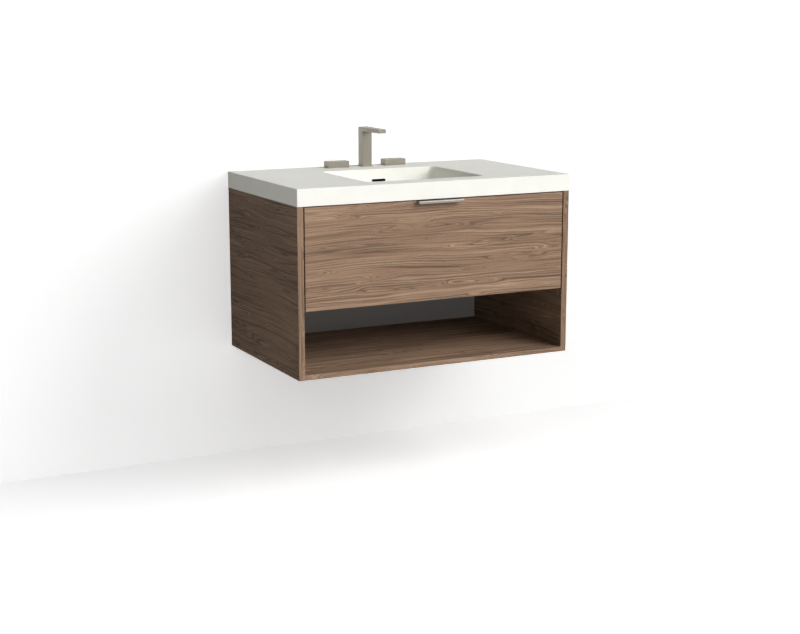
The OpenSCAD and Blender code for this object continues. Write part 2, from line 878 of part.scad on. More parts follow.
module drawer_front() {
    half_w = inner_w / 2 - front_side_gap;
    pull_half = pull_l / 2 + pull_fit;
    color(walnut) difference() {
        span([-half_w, y_front_face, z_front_bottom], [half_w, y_front_back, z_front_top]);
        span([-pull_half, y_front_face - cut_over, z_front_top - pull_t],
            [pull_half, y_front_back + cut_over, z_front_top + cut_over]);
        span([-pull_half, y_front_back - pull_t, z_front_top - pull_leg_h - pull_fit],
            [pull_half, y_front_back + cut_over, z_front_top + cut_over]);
        at_front_screws() screw_hole(front_screw_r, front_screw_l);
        at_pull_screws() screw_hole(pull_screw_r, pull_screw_l);
    }
}

module pull_screw(grow) {
    translate([0, 0, -pull_screw_l - grow])
        cylinder(r = pull_screw_r + grow, h = pull_screw_l + grow);
    translate([0, 0, -pull_t])
        cylinder(r1 = pull_screw_r + grow, r2 = pull_head_r + grow, h = pull_t);
}

module drawer_pull() {
    color(nickel) difference() {
        translate([-pull_l / 2, 0, 0]) rotate([90, 0, 90]) linear_extrude(pull_l) pull_section();
        at_pull_screws() pull_screw(seat_fit);
    }
}

module pull_screws() {
    color(steel) at_pull_screws() pull_screw(0);
}

// The slot that the drawer's bottom sits in, cut from a wall's inner face
module bottom_groove(low_xy, high_xy) {
    span([low_xy[0], low_xy[1], z_bottom - groove_fit / 2],
        [high_xy[0], high_xy[1], z_bottom + bottom_t + groove_fit / 2]);
}

// Places a screw's head inside each drawer member of the slides
module at_slide_screws_drawer() {
    y_mid = y_box_back - slide_l / 2;
    both_sides() for (step = [-1, 0, 1])
        translate([box_w / 2 + slide_steel, y_mid + step * (slide_l / 2 - slide_screw_inset), z_slide])
            rotate([0, 90, 0]) children();
}

module drawer_side(side) {
    inner = box_w / 2 - box_t;
    color(birch) difference() {
        on_side(side) difference() {
            span([inner, y_front_back, z_box_bottom], [box_w / 2, y_box_back, z_box_top]);
            bottom_groove([inner - cut_over, y_front_back - cut_over],
                [inner + groove, y_box_back + cut_over]);
        }
        at_slide_screws_drawer() screw_hole(slide_screw_r, slide_screw_in_drawer);
    }
}

module drawer_subfront() {
    half_w = box_w / 2 - box_t;
    y_inner = y_front_back + box_t;
    color(birch) difference() {
        span([-half_w, y_front_back, z_box_bottom], [half_w, y_inner, z_box_top]);
        bottom_groove([-half_w - cut_over, y_inner - groove],
            [half_w + cut_over, y_inner + cut_over]);
        at_front_screws() screw_hole(front_screw_r, front_screw_l);
    }
}

module drawer_backs() {
    x_notch = notch_w / 2 + box_t;
    x_side = box_w / 2 - box_t;
    y_inner = y_box_back - box_t;
    color(birch) both_sides() difference() {
        span([x_notch, y_inner, z_box_bottom], [x_side, y_box_back, z_box_top]);
        bottom_groove([x_notch - cut_over, y_inner - cut_over],
            [x_side + cut_over, y_inner + groove]);
    }
}

module notch_wall(side) {
    outer = notch_w / 2 + box_t;
    y_end = y_notch - box_t;
    color(birch) on_side(side) difference() {
        span([notch_w / 2, y_end, z_box_bottom], [outer, y_box_back, z_box_top]);
        bottom_groove([outer - groove, y_end - cut_over],
            [outer + cut_over, y_box_back + cut_over]);
        bottom_groove([notch_w / 2 - cut_over, y_end - cut_over],
            [outer + cut_over, y_end + groove]);
    }
}

module notch_wall_front() {
    half_w = notch_w / 2;
    color(birch) difference() {
        span([-half_w, y_notch - box_t, z_box_bottom], [half_w, y_notch, z_box_top]);
        bottom_groove([-half_w - cut_over, y_notch - box_t - cut_over],
            [half_w + cut_over, y_notch - box_t + groove]);
    }
}

// One board with a notch, held in the walls' grooves
module drawer_bottom() {
    in_groove = groove - groove_fit;
    x_out = box_w / 2 - box_t + in_groove;
    x_notch = notch_w / 2 + box_t - in_groove;
    color(birch) difference() {
        span([-x_out, y_front_back + box_t - in_groove, z_bottom],
            [x_out, y_box_back - box_t + in_groove, z_bottom + bottom_t]);
        span([-x_notch, y_notch - box_t + in_groove, z_bottom - cut_over],
            [x_notch, y_box_back + cut_over, z_bottom + bottom_t + cut_over]);
    }
}

module front_screws() {
    color(steel) at_front_screws() screw(front_screw_r, front_screw_l, front_head_r, front_head_t);
}

// ---------------------------------------------------------------- slides

// Draws a section at a slide: its X runs from the panel's face towards the drawer, its Y up
module slide_run(side, y_back, length) {
    on_side(side) translate([inner_w / 2, y_back, z_slide]) mirror([1, 0, 0]) toward_front()
        linear_extrude(length) children();
}

// A channel with its web at x_web and its flanges reaching x_tip
module channel_section(x_web, x_tip, half_h) {
    low = min(x_web, x_tip);
    high = max(x_web, x_tip);
    opens = x_tip > x_web;
    difference() {
        rect([low, -half_h], [high, half_h]);
        rect([opens ? low + slide_steel : low - cut_over, -half_h + slide_steel],
            [opens ? high + cut_over : high - slide_steel, half_h - slide_steel]);
    }
}

module slide_outer(side) {
    color(steel) difference() {
        slide_run(side, y_box_back, slide_l) channel_section(0, outer_tip, outer_half);
        at_slide_screws_cabinet() screw_hole(slide_screw_r, slide_screw_in_side);
    }
}

module slide_middle(side) {
    color(steel) slide_run(side, y_box_back, slide_l)
        channel_section(middle_web, middle_tip, middle_half);
}

module slide_inner(side) {
    color(steel) difference() {
        slide_run(side, y_box_back, slide_l) channel_section(slide_w, inner_tip, inner_half);
        at_slide_screws_drawer() screw_hole(slide_screw_r, slide_screw_in_drawer);
    }
}

// A strip that keeps two rows of balls in step
module ball_cage(x_web, x_ball, row_z) {
    x_tip = x_ball + cage_lip;
    y_back = y_box_back - slide_l / 2 + cage_l / 2;
    pitch = cage_l / cage_balls;
    both_sides() {
        slide_run(1, y_back, cage_l) {
            rect([x_web, -row_z], [x_web + cage_t, row_z]);
            for (row = [-1, 1])
                rect([x_web, row * row_z - cage_t / 2], [x_tip, row * row_z + cage_t / 2]);
        }
        for (row = [-1, 1]) for (ball = [0:cage_balls - 1])
            translate([inner_w / 2 - x_ball, y_back - (ball + 0.5) * pitch, z_slide + row * row_z])
                sphere(r = ball_r);
    }
}

module ball_cages_outer() {
    color(steel) ball_cage(cage_outer_web, outer_ball_x, middle_half + ball_gap / 2);
}

module ball_cages_inner() {
    color(steel) ball_cage(cage_inner_web, inner_ball_x, inner_half + ball_gap / 2);
}

module slide_screws_cabinet() {
    color(steel) at_slide_screws_cabinet()
        screw(slide_screw_r, slide_screw_in_side, slide_screw_head_r, slide_screw_head_t);
}

module slide_screws_drawer() {
    color(steel) at_slide_screws_drawer()
        screw(slide_screw_r, slide_screw_in_drawer, slide_screw_head_r, slide_screw_head_t);
}

// ---------------------------------------------------------------- assembly

side_panel(-1);  // side_panel_left
side_panel(1);  // side_panel_right
shelf_panel();
drawer_deck();
upper_wall_rail();
lower_wall_rail();
front_stretcher();
edge_bands();
panel_dowels();
corner_brackets();
bracket_screws();
drawer_bumpers();
countertop_basin();
overflow_duct();
drain_body();
drain_guide();
drain_gasket();
drain_nut();
drain_tailpiece();
drain_stopper();
spout_body();
spout_flange();
spout_aerator();
spout_shank();
spout_washer();
spout_nut();
mixing_tee();
handle(-1);  // hot_handle
handle(1);  // cold_handle
handle_escutcheons();
valve(-1);  // hot_valve
valve(1);  // cold_valve
stem(-1);  // hot_stem
stem(1);  // cold_stem
valve_nuts();
hose(-1);  // hot_hose
hose(1);  // cold_hose
drawer_front();
drawer_pull();
pull_screws();
drawer_subfront();
drawer_side(-1);  // drawer_side_left
drawer_side(1);  // drawer_side_right
drawer_backs();
notch_wall(-1);  // notch_wall_left
notch_wall(1);  // notch_wall_right
notch_wall_front();
drawer_bottom();
front_screws();
slide_outer(-1);  // slide_outer_left
slide_outer(1);  // slide_outer_right
slide_middle(-1);  // slide_middle_left
slide_middle(1);  // slide_middle_right
slide_inner(-1);  // slide_inner_left
slide_inner(1);  // slide_inner_right
ball_cages_outer();
ball_cages_inner();
slide_screws_cabinet();
slide_screws_drawer();
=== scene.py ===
"""The finished look of a wall-hung vanity: walnut cabinet, deep drawer, moulded counter and tap.

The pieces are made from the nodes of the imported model, or put where those nodes are, in metres.
X runs along the wall, the wall is the plane Y = 0, the front faces -Y and Z points up.
"""

import json
import logging
import math
from collections.abc import Callable, Iterator, Sequence
from contextlib import contextmanager
from dataclasses import dataclass
from enum import Enum

import bmesh
import bpy
from mathutils import Matrix, Vector

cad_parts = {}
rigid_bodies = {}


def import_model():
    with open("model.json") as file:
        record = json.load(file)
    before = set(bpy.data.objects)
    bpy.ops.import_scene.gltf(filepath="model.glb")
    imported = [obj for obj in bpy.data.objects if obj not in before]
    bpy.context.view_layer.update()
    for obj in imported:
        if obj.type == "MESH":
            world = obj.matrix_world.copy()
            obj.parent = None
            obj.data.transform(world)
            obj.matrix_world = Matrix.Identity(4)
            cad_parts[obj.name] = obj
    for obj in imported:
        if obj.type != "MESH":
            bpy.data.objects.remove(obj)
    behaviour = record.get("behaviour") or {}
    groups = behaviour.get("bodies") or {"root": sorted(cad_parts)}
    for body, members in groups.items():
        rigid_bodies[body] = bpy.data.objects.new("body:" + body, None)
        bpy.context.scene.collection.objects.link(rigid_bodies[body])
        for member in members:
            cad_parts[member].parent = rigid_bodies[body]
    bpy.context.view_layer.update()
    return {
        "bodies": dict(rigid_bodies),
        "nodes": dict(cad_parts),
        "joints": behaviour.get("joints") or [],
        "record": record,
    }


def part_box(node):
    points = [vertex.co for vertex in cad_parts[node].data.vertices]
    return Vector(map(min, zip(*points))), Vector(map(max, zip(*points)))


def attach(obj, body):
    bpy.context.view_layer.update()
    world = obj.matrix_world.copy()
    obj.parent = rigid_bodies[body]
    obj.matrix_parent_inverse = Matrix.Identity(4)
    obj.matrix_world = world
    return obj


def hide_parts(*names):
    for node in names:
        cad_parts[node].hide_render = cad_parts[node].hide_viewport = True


LOG = logging.getLogger("vanity")
MM = 0.001

# Corners this near are one. Edges that turn more than SHARP are eased, faces that turn less than FLAT
# are one. TOUCH is as near as touching, SHEET_EDGE is the rounding of a thin sheet's own edges, and
# NEARLY is the part of a length or a direction that counts as all of it.
MERGE = 2e-6
SHARP = math.radians(30)
FLAT = math.radians(0.3)
TOUCH = 0.02 * MM
SHEET_EDGE = 0.25 * MM
NEARLY = 0.99

# A Mix node's sockets share their names, so the ones for colours are known by their places.
MIX_UNDER, MIX_OVER, MIX_RESULT = 6, 7, 2

Colour = tuple[float, float, float]
EdgeTest = Callable[[bmesh.types.BMEdge], bool]
FaceTest = Callable[[bmesh.types.BMFace], bool]
Station = tuple[float, float]
Socket = bpy.types.NodeSocket


class Axis(Enum):
    """A direction of the shared frame."""

    X = 0
    Y = 1
    Z = 2


def srgb(red: int, green: int, blue: int) -> Colour:
    """Turns a colour as it looks on a screen into the amounts that light carries.

    Args:
        red: The red, 0 to 255.
        green: The green, 0 to 255.
        blue: The blue, 0 to 255.

    Returns:
        The red, green and blue light, 0 to 1.
    """

    def channel(level: int) -> float:
        """Returns one channel's amount of light."""
        part = level / 255
        return part / 12.92 if part <= 0.04045 else ((part + 0.055) / 1.055) ** 2.4

    return channel(red), channel(green), channel(blue)


# ---------------------------------------------------------------- shader writing


class Graph:
    """Writes the shader nodes of one material."""

    def __init__(self, name: str) -> None:
        """Starts an empty material.

        Args:
            name: The material's name.
        """
        self.material = bpy.data.materials.new(name)
        self.material.use_nodes = True
        self.tree = self.material.node_tree
        self.tree.nodes.clear()

    def node(self, kind: str, **settings: object) -> bpy.types.Node:
        """Adds one node and sets its options.

        Args:
            kind: The node's type name.
            **settings: Options of that node, by name.

        Returns:
            The new node.
        """
        made = self.tree.nodes.new(kind)
        for option, value in settings.items():
            setattr(made, option, value)
        return made

    def feed(self, socket: Socket, value: object) -> None:
        """Links a socket to another one, or writes a plain value on it.

        Args:
            socket: The socket that takes the value.
            value: A socket, a plain value, or nothing, which leaves the socket as it is.
        """
        if isinstance(value, bpy.types.NodeSocket):
            self.tree.links.new(value, socket)
        elif value is not None:
            socket.default_value = value

    def math(self, operation: str, *values: object) -> Socket:
        """Works out a number from up to three others.

        Args:
            operation: Blender's name for the operation.
            *values: Numbers or sockets, in order.

        Returns:
            The result's socket.
        """
        made = self.node("ShaderNodeMath", operation=operation)
        for socket, value in zip(made.inputs, values):
            self.feed(socket, value)
        return made.outputs[0]

    def spread(
        self, value: Socket, span: tuple[float, float], onto: tuple[float, float] = (0.0, 1.0)
    ) -> Socket:
        """Maps a number smoothly from one range to another.

        Args:
            value: The number.
            span: Where the first range starts and ends.
            onto: What these two ends become.

        Returns:
            The mapped number's socket.
        """
        made = self.node("ShaderNodeMapRange", interpolation_type="SMOOTHSTEP")
        for socket, amount in zip(made.inputs, (value, *span, *onto)):
            self.feed(socket, amount)
        return made.outputs[0]

    def place(self) -> tuple[Socket, Socket, Socket]:
        """Reads where the shaded point is.

        Returns:
            Its X, Y and Z, in the piece's own space.
        """
        source = self.node("ShaderNodeTexCoord")
        split = self.node("ShaderNodeSeparateXYZ")
        self.feed(split.inputs[0], source.outputs["Object"])
        return split.outputs[0], split.outputs[1], split.outputs[2]

    def point(self, parts: Sequence[Socket], scales: Sequence[float] = (1.0, 1.0, 1.0)) -> Socket:
        """Joins three numbers to a point.

        Args:
            parts: The point's X, Y and Z.
            scales: What each of them is multiplied by.

        Returns:
            The point's socket.
        """
        made = self.node("ShaderNodeCombineXYZ")
        for socket, part, scale in zip(made.inputs, parts, scales):
            self.feed(socket, part if scale == 1.0 else self.math("MULTIPLY", part, scale))
        return made.outputs[0]

    def noise(self, where: Socket, scale: float = 1.0, detail: float = 2.0, rough: float = 0.5) -> Socket:
        """Adds cloudy noise.

        Args:
            where: The point that it is read at.
            scale: How many patches fit in a metre of that point.
            detail: How many finer layers it has.
            rough: How strong those layers are.

        Returns:
            The noise's socket, about 0.5 on average.
        """
        made = self.node("ShaderNodeTexNoise")
        self.feed(made.inputs["Vector"], where)
        self.feed(made.inputs["Scale"], scale)
        self.feed(made.inputs["Detail"], detail)
        self.feed(made.inputs["Roughness"], rough)
        return made.outputs[0]

    def ramp(self, value: Socket, *stops: tuple[float, Colour]) -> Socket:
        """Turns a number into a colour.

        Args:
            value: The number, 0 to 1.
            *stops: Where each colour stands, in order.

        Returns:
            The colour's socket.
        """
        made = self.node("ShaderNodeValToRGB")
        band = made.color_ramp
        while len(band.elements) < len(stops):
            band.elements.new(0.5)
        for element, (at, colour) in zip(band.elements, stops):
            element.position = at
            element.color = (*colour, 1.0)
        self.feed(made.inputs[0], value)
        return made.outputs[0]

    def blend(self, amount: object, under: object, over: object, mode: str = "MIX") -> Socket:
        """Lays one colour over another.

        Args:
            amount: How much of the upper colour shows, 0 to 1.
            under: The lower colour.
            over: The upper colour.
            mode: Blender's name for the way they mix.

        Returns:
            The mixed colour's socket.
        """
        made = self.node("ShaderNodeMix", data_type="RGBA", blend_type=mode)
        self.feed(made.inputs[0], amount)
        for place, value in ((MIX_UNDER, under), (MIX_OVER, over)):
            self.feed(made.inputs[place], (*value, 1.0) if isinstance(value, tuple) else value)
        return made.outputs[MIX_RESULT]

    def bump(self, height: Socket, depth: float, strength: float = 1.0) -> Socket:
        """Makes the surface look raised.

        Args:
            height: The relief, 0 to 1.
            depth: How deep the relief is, in metres.
            strength: How much of it shows.

        Returns:
            The bent normal's socket.
        """
        made = self.node("ShaderNodeBump")
        made.inputs["Strength"].default_value = strength
        made.inputs["Distance"].default_value = depth
        self.feed(made.inputs["Height"], height)
        return made.outputs[0]

    def finish(
        self, colour: object, roughness: object, normal: Socket | None = None, **constants: float
    ) -> bpy.types.Material:
        """Closes the graph with one general shader.

        Args:
            colour: The base colour.
            roughness: How matt the surface is.
            normal: The bent normal, if any.
            **constants: Other sockets' plain values, with _ for a space.

        Returns:
            The material.
        """
        shader = self.node("ShaderNodeBsdfPrincipled")
        self.feed(shader.inputs["Base Color"], (*colour, 1.0) if isinstance(colour, tuple) else colour)
        self.feed(shader.inputs["Roughness"], roughness)
        self.feed(shader.inputs["Normal"], normal)
        for name, value in constants.items():
            shader.inputs[name.replace("_", " ")].default_value = value
        output = self.node("ShaderNodeOutputMaterial")
        self.feed(output.inputs[0], shader.outputs[0])
        return self.material


@dataclass(frozen=True)
class Finish:
    """A finish that a piece can wear."""

    name: str

    def material(self) -> bpy.types.Material:
        """Returns the finish's material, written once, under a name that no packed material has."""
        title = self.name + "_finish"
        return bpy.data.materials.get(title) or self.write(Graph(title))

    def write(self, graph: Graph) -> bpy.types.Material:
        """Writes the finish's shader."""
        raise NotImplementedError


@dataclass(frozen=True)
class WalnutVeneer(Finish):
    """Oiled walnut veneer with long wavy grain and small closed figures.

    Attributes:
        along: The way that the grain runs.
        across: The way that the rings follow each other.
        shift: How far along the grain the figure is taken from, so that no two boards match.
        dive: How much of that shift is taken into the board too.
        ring: How far apart the rings are.
        tone: How bright the wood is beside its colours; below 1 it is painted shade, a darker copy for the
            side panels.
        lean: How far the rings move for each metre into the board.
        sway: The long waves' height.
        ripple: The short waves' height.
        swell: How far a closed figure pushes the rings.
        wander: How unevenly the rings follow each other, in rings.
        pore_depth: How deep the pores are.
        light: The palest wood.
        middle: The wood between.
        dark: The darkest wood, and the late rings.
    """

    along: Axis
    across: Axis
    shift: float
    ring: float = 7.2 * MM
    tone: float = 1.0
    dive: float = 0.37
    lean: float = 0.8
    sway: float = 55 * MM
    ripple: float = 14 * MM
    swell: float = 21 * MM
    wander: float = 1.2
    pore_depth: float = 0.06 * MM
    light: Colour = srgb(174, 147, 122)
    middle: Colour = srgb(153, 126, 105)
    dark: Colour = srgb(108, 89, 75)

    def write(self, graph: Graph) -> bpy.types.Material:
        """Writes growth rings that slow noise bends and swellings close, then fibres and pores.

        Args:
            graph: The material's empty graph.

        Returns:
            The finished material.
        """
        place = graph.place()
        third = next(axis for axis in Axis if axis not in (self.along, self.across))
        run = graph.math("ADD", place[self.along.value], self.shift)
        depth = graph.math("ADD", place[third.value], self.dive * self.shift)
        level = graph.math("ADD", place[self.across.value], graph.math("MULTIPLY", depth, self.lean))

        def field(per_run: float, per_level: float, height: Socket = level) -> Socket:
            """Returns a point that is stretched along the grain."""
            return graph.point((run, height, depth), (per_run, per_level, per_level))

        swelling = graph.spread(graph.noise(field(5.0, 42.0), detail=0.6), (0.52, 0.76))
        bent = graph.math("MULTIPLY_ADD", graph.noise(field(1.8, 6.0), detail=1.0), self.sway, level)
        bent = graph.math("MULTIPLY_ADD", graph.noise(field(5.0, 29.0), detail=2.0), self.ripple, bent)
        bent = graph.math("MULTIPLY_ADD", swelling, self.swell, bent)
        growth = graph.noise(field(1.7, 1.0 / self.ring, bent), detail=2.5, rough=0.62)
        phase = graph.math("MULTIPLY_ADD", growth, self.wander, graph.math("DIVIDE", bent, self.ring))
        phase = graph.math("FRACT", phase)
        late = graph.math(
            "MULTIPLY", graph.spread(phase, (0.30, 0.86)), graph.spread(phase, (0.88, 1.0), (1.0, 0.0))
        )
        vigour = graph.spread(graph.noise(field(3.0, 50.0, bent), detail=1.0), (0.38, 0.64), (0.10, 0.96))
        colour = graph.ramp(
            growth, (0.31, self.dark), (0.45, self.middle), (0.53, self.middle), (0.66, self.light)
        )
        colour = graph.blend(graph.math("MULTIPLY", late, vigour), colour, self.dark)
        # A tone below 1 darkens the whole wood: painted shade on the side panels.
        paler, darker = 1.10 * self.tone, 0.92 * self.tone
        cloud = graph.spread(graph.noise(field(1.6, 11.0), detail=2.0), (0.3, 0.7), (darker, paler))
        fibre = graph.noise(field(12.0, 520.0), detail=3.0, rough=0.7)
        fibre = graph.spread(fibre, (0.3, 0.7), (0.88, 1.1))
        pores = graph.spread(graph.noise(field(90.0, 1900.0), detail=1.0), (0.60, 0.72), (1.0, 0.60))
        shade = graph.math("MULTIPLY", graph.math("MULTIPLY", cloud, fibre), pores)
        colour = graph.blend(1.0, colour, graph.point((shade, shade, shade)), "MULTIPLY")
        roughness = graph.spread(fibre, (0.88, 1.1), (0.74, 0.60))
        relief = graph.bump(shade, self.pore_depth, strength=0.6)
        return graph.finish(colour, roughness, relief, Specular_IOR_Level=0.05)


@dataclass(frozen=True)
class BirchPly(Finish):
    """Lacquered birch plywood: quiet faces, and plies that show on the cut edges.

    Attributes:
        along: The way that the faces' grain runs.
        through: The way through the board, across its plies.
        ply: How thick a ply is.
        grain_depth: How deep the grain is.
        face: The faces' colour.
        streak: The grain's colour, and that of the plies that are cut across.
        glue: The colour of the lines between the plies.
    """

    along: Axis
    through: Axis
    ply: float = 1.4 * MM
    grain_depth: float = 0.05 * MM
    face: Colour = srgb(222, 196, 158)
    streak: Colour = srgb(200, 168, 126)
    glue: Colour = srgb(150, 112, 74)

    def write(self, graph: Graph) -> bpy.types.Material:
        """Writes plies along the board's thickness, and a faint grain on its faces.

        Args:
            graph: The material's empty graph.

        Returns:
            The finished material.
        """
        place = graph.place()
        wide = next(axis for axis in Axis if axis not in (self.along, self.through))
        run, level, depth = (place[axis.value] for axis in (self.along, wide, self.through))
        grain = graph.noise(graph.point((run, level, depth), (5.0, 90.0, 300.0)), detail=4.0, rough=0.62)
        colour = graph.ramp(grain, (0.36, self.streak), (0.62, self.face))
        count = graph.math("DIVIDE", depth, 2.0 * self.ply)
        wave = graph.math("PINGPONG", count, 0.5)
        cross = graph.spread(wave, (0.22, 0.28), (0.0, 0.5))
        seam = graph.math("ABSOLUTE", graph.math("SUBTRACT", wave, 0.25))
        line = graph.spread(seam, (0.012, 0.045), (0.75, 0.0))
        colour = graph.blend(cross, colour, self.streak)
        colour = graph.blend(line, colour, self.glue)
        roughness = graph.spread(grain, (0.3, 0.7), (0.5, 0.38))
        return graph.finish(colour, roughness, graph.bump(grain, self.grain_depth, strength=0.5))


@dataclass(frozen=True)
class SolidSurface(Finish):
    """Cast white counter material with a soft gloss and the faintest cloud."""

    colour: Colour = srgb(249, 249, 243)
    clouded: Colour = srgb(246, 246, 239)
    sanding_depth: float = 0.02 * MM

    def write(self, graph: Graph) -> bpy.types.Material:
        """Writes a faint cloud, a gloss that changes a little, and fine sanding marks.

        Args:
            graph: The material's empty graph.

        Returns:
            The finished material.
        """
        where = graph.point(graph.place())
        cloud = graph.noise(where, scale=14.0, detail=4.0, rough=0.6)
        colour = graph.ramp(cloud, (0.35, self.clouded), (0.65, self.colour))
        sanding = graph.noise(where, scale=900.0, detail=3.0, rough=0.7)
        rough = graph.math("MULTIPLY_ADD", graph.noise(where, scale=60.0, detail=2.0), 0.10, 0.50)
        relief = graph.bump(sanding, self.sanding_depth, strength=0.25)
        return graph.finish(colour, rough, relief, Specular_IOR_Level=0.16)


@dataclass(frozen=True)
class BrushedMetal(Finish):
    """Metal with fine brush lines along one direction.

    Attributes:
        along: The way that the lines run.
        colour: The metal's colour.
        rough: How matt it is.
        depth: How deep the lines are.
        per_run: How many lines follow each other in a metre along the brush.
        per_side: How many lie beside each other in a metre.
        dulling: How bright the dull lines' colour is beside the metal's own.
    """

    along: Axis
    colour: Colour = srgb(138, 133, 122)
    rough: float = 0.40
    depth: float = 0.02 * MM
    per_run: float = 24.0
    per_side: float = 1400.0
    dulling: float = 0.86

    def write(self, graph: Graph) -> bpy.types.Material:
        """Writes long fine lines that break up the gloss, and faint handling marks.

        Args:
            graph: The material's empty graph.

        Returns:
            The finished material.
        """
        place = graph.place()
        stretch = [self.per_run if axis is self.along else self.per_side for axis in Axis]
        lines = graph.noise(graph.point(place, stretch), detail=3.0, rough=0.7)
        marks = graph.noise(graph.point(place), scale=45.0, detail=3.0)
        dull = tuple(self.dulling * part for part in self.colour)
        colour = graph.blend(graph.spread(lines, (0.3, 0.7), (0.0, 0.6)), self.colour, dull)
        rough = graph.math("MULTIPLY_ADD", lines, 0.14, self.rough - 0.09)
        rough = graph.math("MULTIPLY_ADD", marks, 0.08, rough)
        return graph.finish(colour, rough, graph.bump(lines, self.depth, strength=0.35), Metallic=1.0)


@dataclass(frozen=True)
class PlainMetal(Finish):
    """Turned, pressed or plated metal with a fine mottle.

    Attributes:
        colour: The metal's colour.
        tint: The colour of its patches.
        rough: How matt it is.
        grain: How many spots of the mottle fit in a metre.
        tooth: How deep its relief is.
    """

    colour: Colour = srgb(190, 192, 194)
    tint: Colour = srgb(181, 183, 183)
    rough: float = 0.34
    grain: float = 260.0
    tooth: float = 0.02 * MM

    def relief(self, graph: Graph) -> Socket | None:
        """Returns the height of what is cut or woven into the metal, or nothing if it is plain."""
        return None

    def write(self, graph: Graph) -> bpy.types.Material:
        """Writes a mottled plating with a changing gloss, and its relief, with painted shade that darkens
        the hollows.

        Args:
            graph: The material's empty graph.

        Returns:
            The finished material.
        """
        where = graph.point(graph.place())
        mottle = graph.noise(where, scale=self.grain, detail=3.0, rough=0.6)
        patch = graph.noise(where, scale=30.0, detail=2.0)
        colour = graph.ramp(patch, (0.35, self.tint), (0.65, self.colour))
        rough = graph.math("MULTIPLY_ADD", mottle, 0.22, self.rough - 0.11)
        relief = self.relief(graph)
        if relief is None:
            return graph.finish(colour, rough, graph.bump(mottle, self.tooth, strength=0.3), Metallic=1.0)
        # Painted shade: the relief's hollows are darkened down to 0.55 of the colour.
        shade = graph.spread(relief, (0.0, 0.25), (0.55, 1.0))
        colour = graph.blend(1.0, colour, graph.point((shade, shade, shade)), "MULTIPLY")
        return graph.finish(colour, rough, graph.bump(relief, self.tooth), Metallic=1.0)


@dataclass(frozen=True)
class Threaded(PlainMetal):
    """Turned metal with a screw thread about an upright line, below a given height.

    Attributes:
        centre: The X and Y of that line.
        top: The height that the thread ends at.
        root: How far from the line the thread starts.
        pitch: How far the thread climbs in one turn.
    """

    centre: tuple[float, float] = (0.0, 0.0)
    top: float = 0.0
    root: float = 20.0 * MM
    pitch: float = 2.3 * MM
    tooth: float = 0.7 * MM

    def relief(self, graph: Graph) -> Socket | None:
        """Works out a thread that climbs one pitch each turn.

        Args:
            graph: The material's graph.

        Returns:
            The thread's height, 0 to 0.5.
        """
        east, north, up = graph.place()
        east = graph.math("SUBTRACT", east, self.centre[0])
        north = graph.math("SUBTRACT", north, self.centre[1])
        turn = graph.math("DIVIDE", graph.math("ARCTAN2", north, east), math.tau)
        climb = graph.math("ADD", graph.math("DIVIDE", up, self.pitch), turn)
        flank = graph.math("PINGPONG", climb, 0.5)
        away = graph.math(
            "SQRT", graph.math("ADD", graph.math("POWER", east, 2.0), graph.math("POWER", north, 2.0))
        )
        outside = graph.spread(away, (self.root - 0.3 * MM, self.root))
        below = graph.spread(up, (self.top - 0.6 * MM, self.top), (1.0, 0.0))
        return graph.math("MULTIPLY", graph.math("MULTIPLY", flank, outside), below)


@dataclass(frozen=True)
class Braid(PlainMetal):
    """Steel wire that is braided round a hose.

    Attributes:
        wire: How wide a strand and its gap are together.
    """

    wire: float = 1.6 * MM
    tooth: float = 0.5 * MM

    def relief(self, graph: Graph) -> Socket | None:
        """Works out two sets of strands that cross.

        Args:
            graph: The material's graph.

        Returns:
            The strands' height, 0 to 0.25.
        """
        east, north, up = graph.place()
        rise = graph.math("ADD", up, north)
        pair = []
        for way in ("ADD", "SUBTRACT"):
            climb = graph.math("DIVIDE", graph.math(way, east, rise), self.wire)
            pair.append(graph.math("PINGPONG", climb, 0.5))
        return graph.math("MULTIPLY", pair[0], pair[1])


@dataclass(frozen=True)
class Rubber(Finish):
    """Matt black rubber."""

    colour: Colour = srgb(34, 34, 35)
    worn: Colour = srgb(50, 50, 50)
    rough: float = 0.78
    pebble_depth: float = 0.04 * MM

    def write(self, graph: Graph) -> bpy.types.Material:
        """Writes a fine pebbled skin with paler rubbed spots.

        Args:
            graph: The material's empty graph.

        Returns:
            The finished material.
        """
        where = graph.point(graph.place())
        pebbles = graph.noise(where, scale=1800.0, detail=2.0)
        rubbed = graph.spread(graph.noise(where, scale=110.0, detail=3.0), (0.5, 0.75))
        colour = graph.blend(rubbed, self.colour, self.worn)
        relief = graph.bump(pebbles, self.pebble_depth, strength=0.5)
        return graph.finish(colour, self.rough, relief, Specular_IOR_Level=0.3)


@dataclass(frozen=True)
class MouldedPlastic(Finish):
    """Black moulded plastic with a slightly grained skin."""

    colour: Colour = srgb(38, 39, 40)
    shaded: Colour = srgb(31, 32, 33)
    skin_depth: float = 0.03 * MM

    def write(self, graph: Graph) -> bpy.types.Material:
        """Writes a fine spark-eroded skin.

        Args:
            graph: The material's empty graph.

        Returns:
            The finished material.
        """
        where = graph.point(graph.place())
        skin = graph.noise(where, scale=1500.0, detail=2.0)
        flow = graph.noise(where, scale=18.0, detail=2.0)
        colour = graph.ramp(flow, (0.3, self.shaded), (0.7, self.colour))
        rough = graph.math("MULTIPLY_ADD", skin, 0.12, 0.5)
        relief = graph.bump(skin, self.skin_depth, strength=0.4)
        return graph.finish(colour, rough, relief, Specular_IOR_Level=0.3)


TURNED_NICKEL = (srgb(196, 191, 182), srgb(186, 182, 172))
DRAIN_CENTRE = (0.0, -311 * MM)


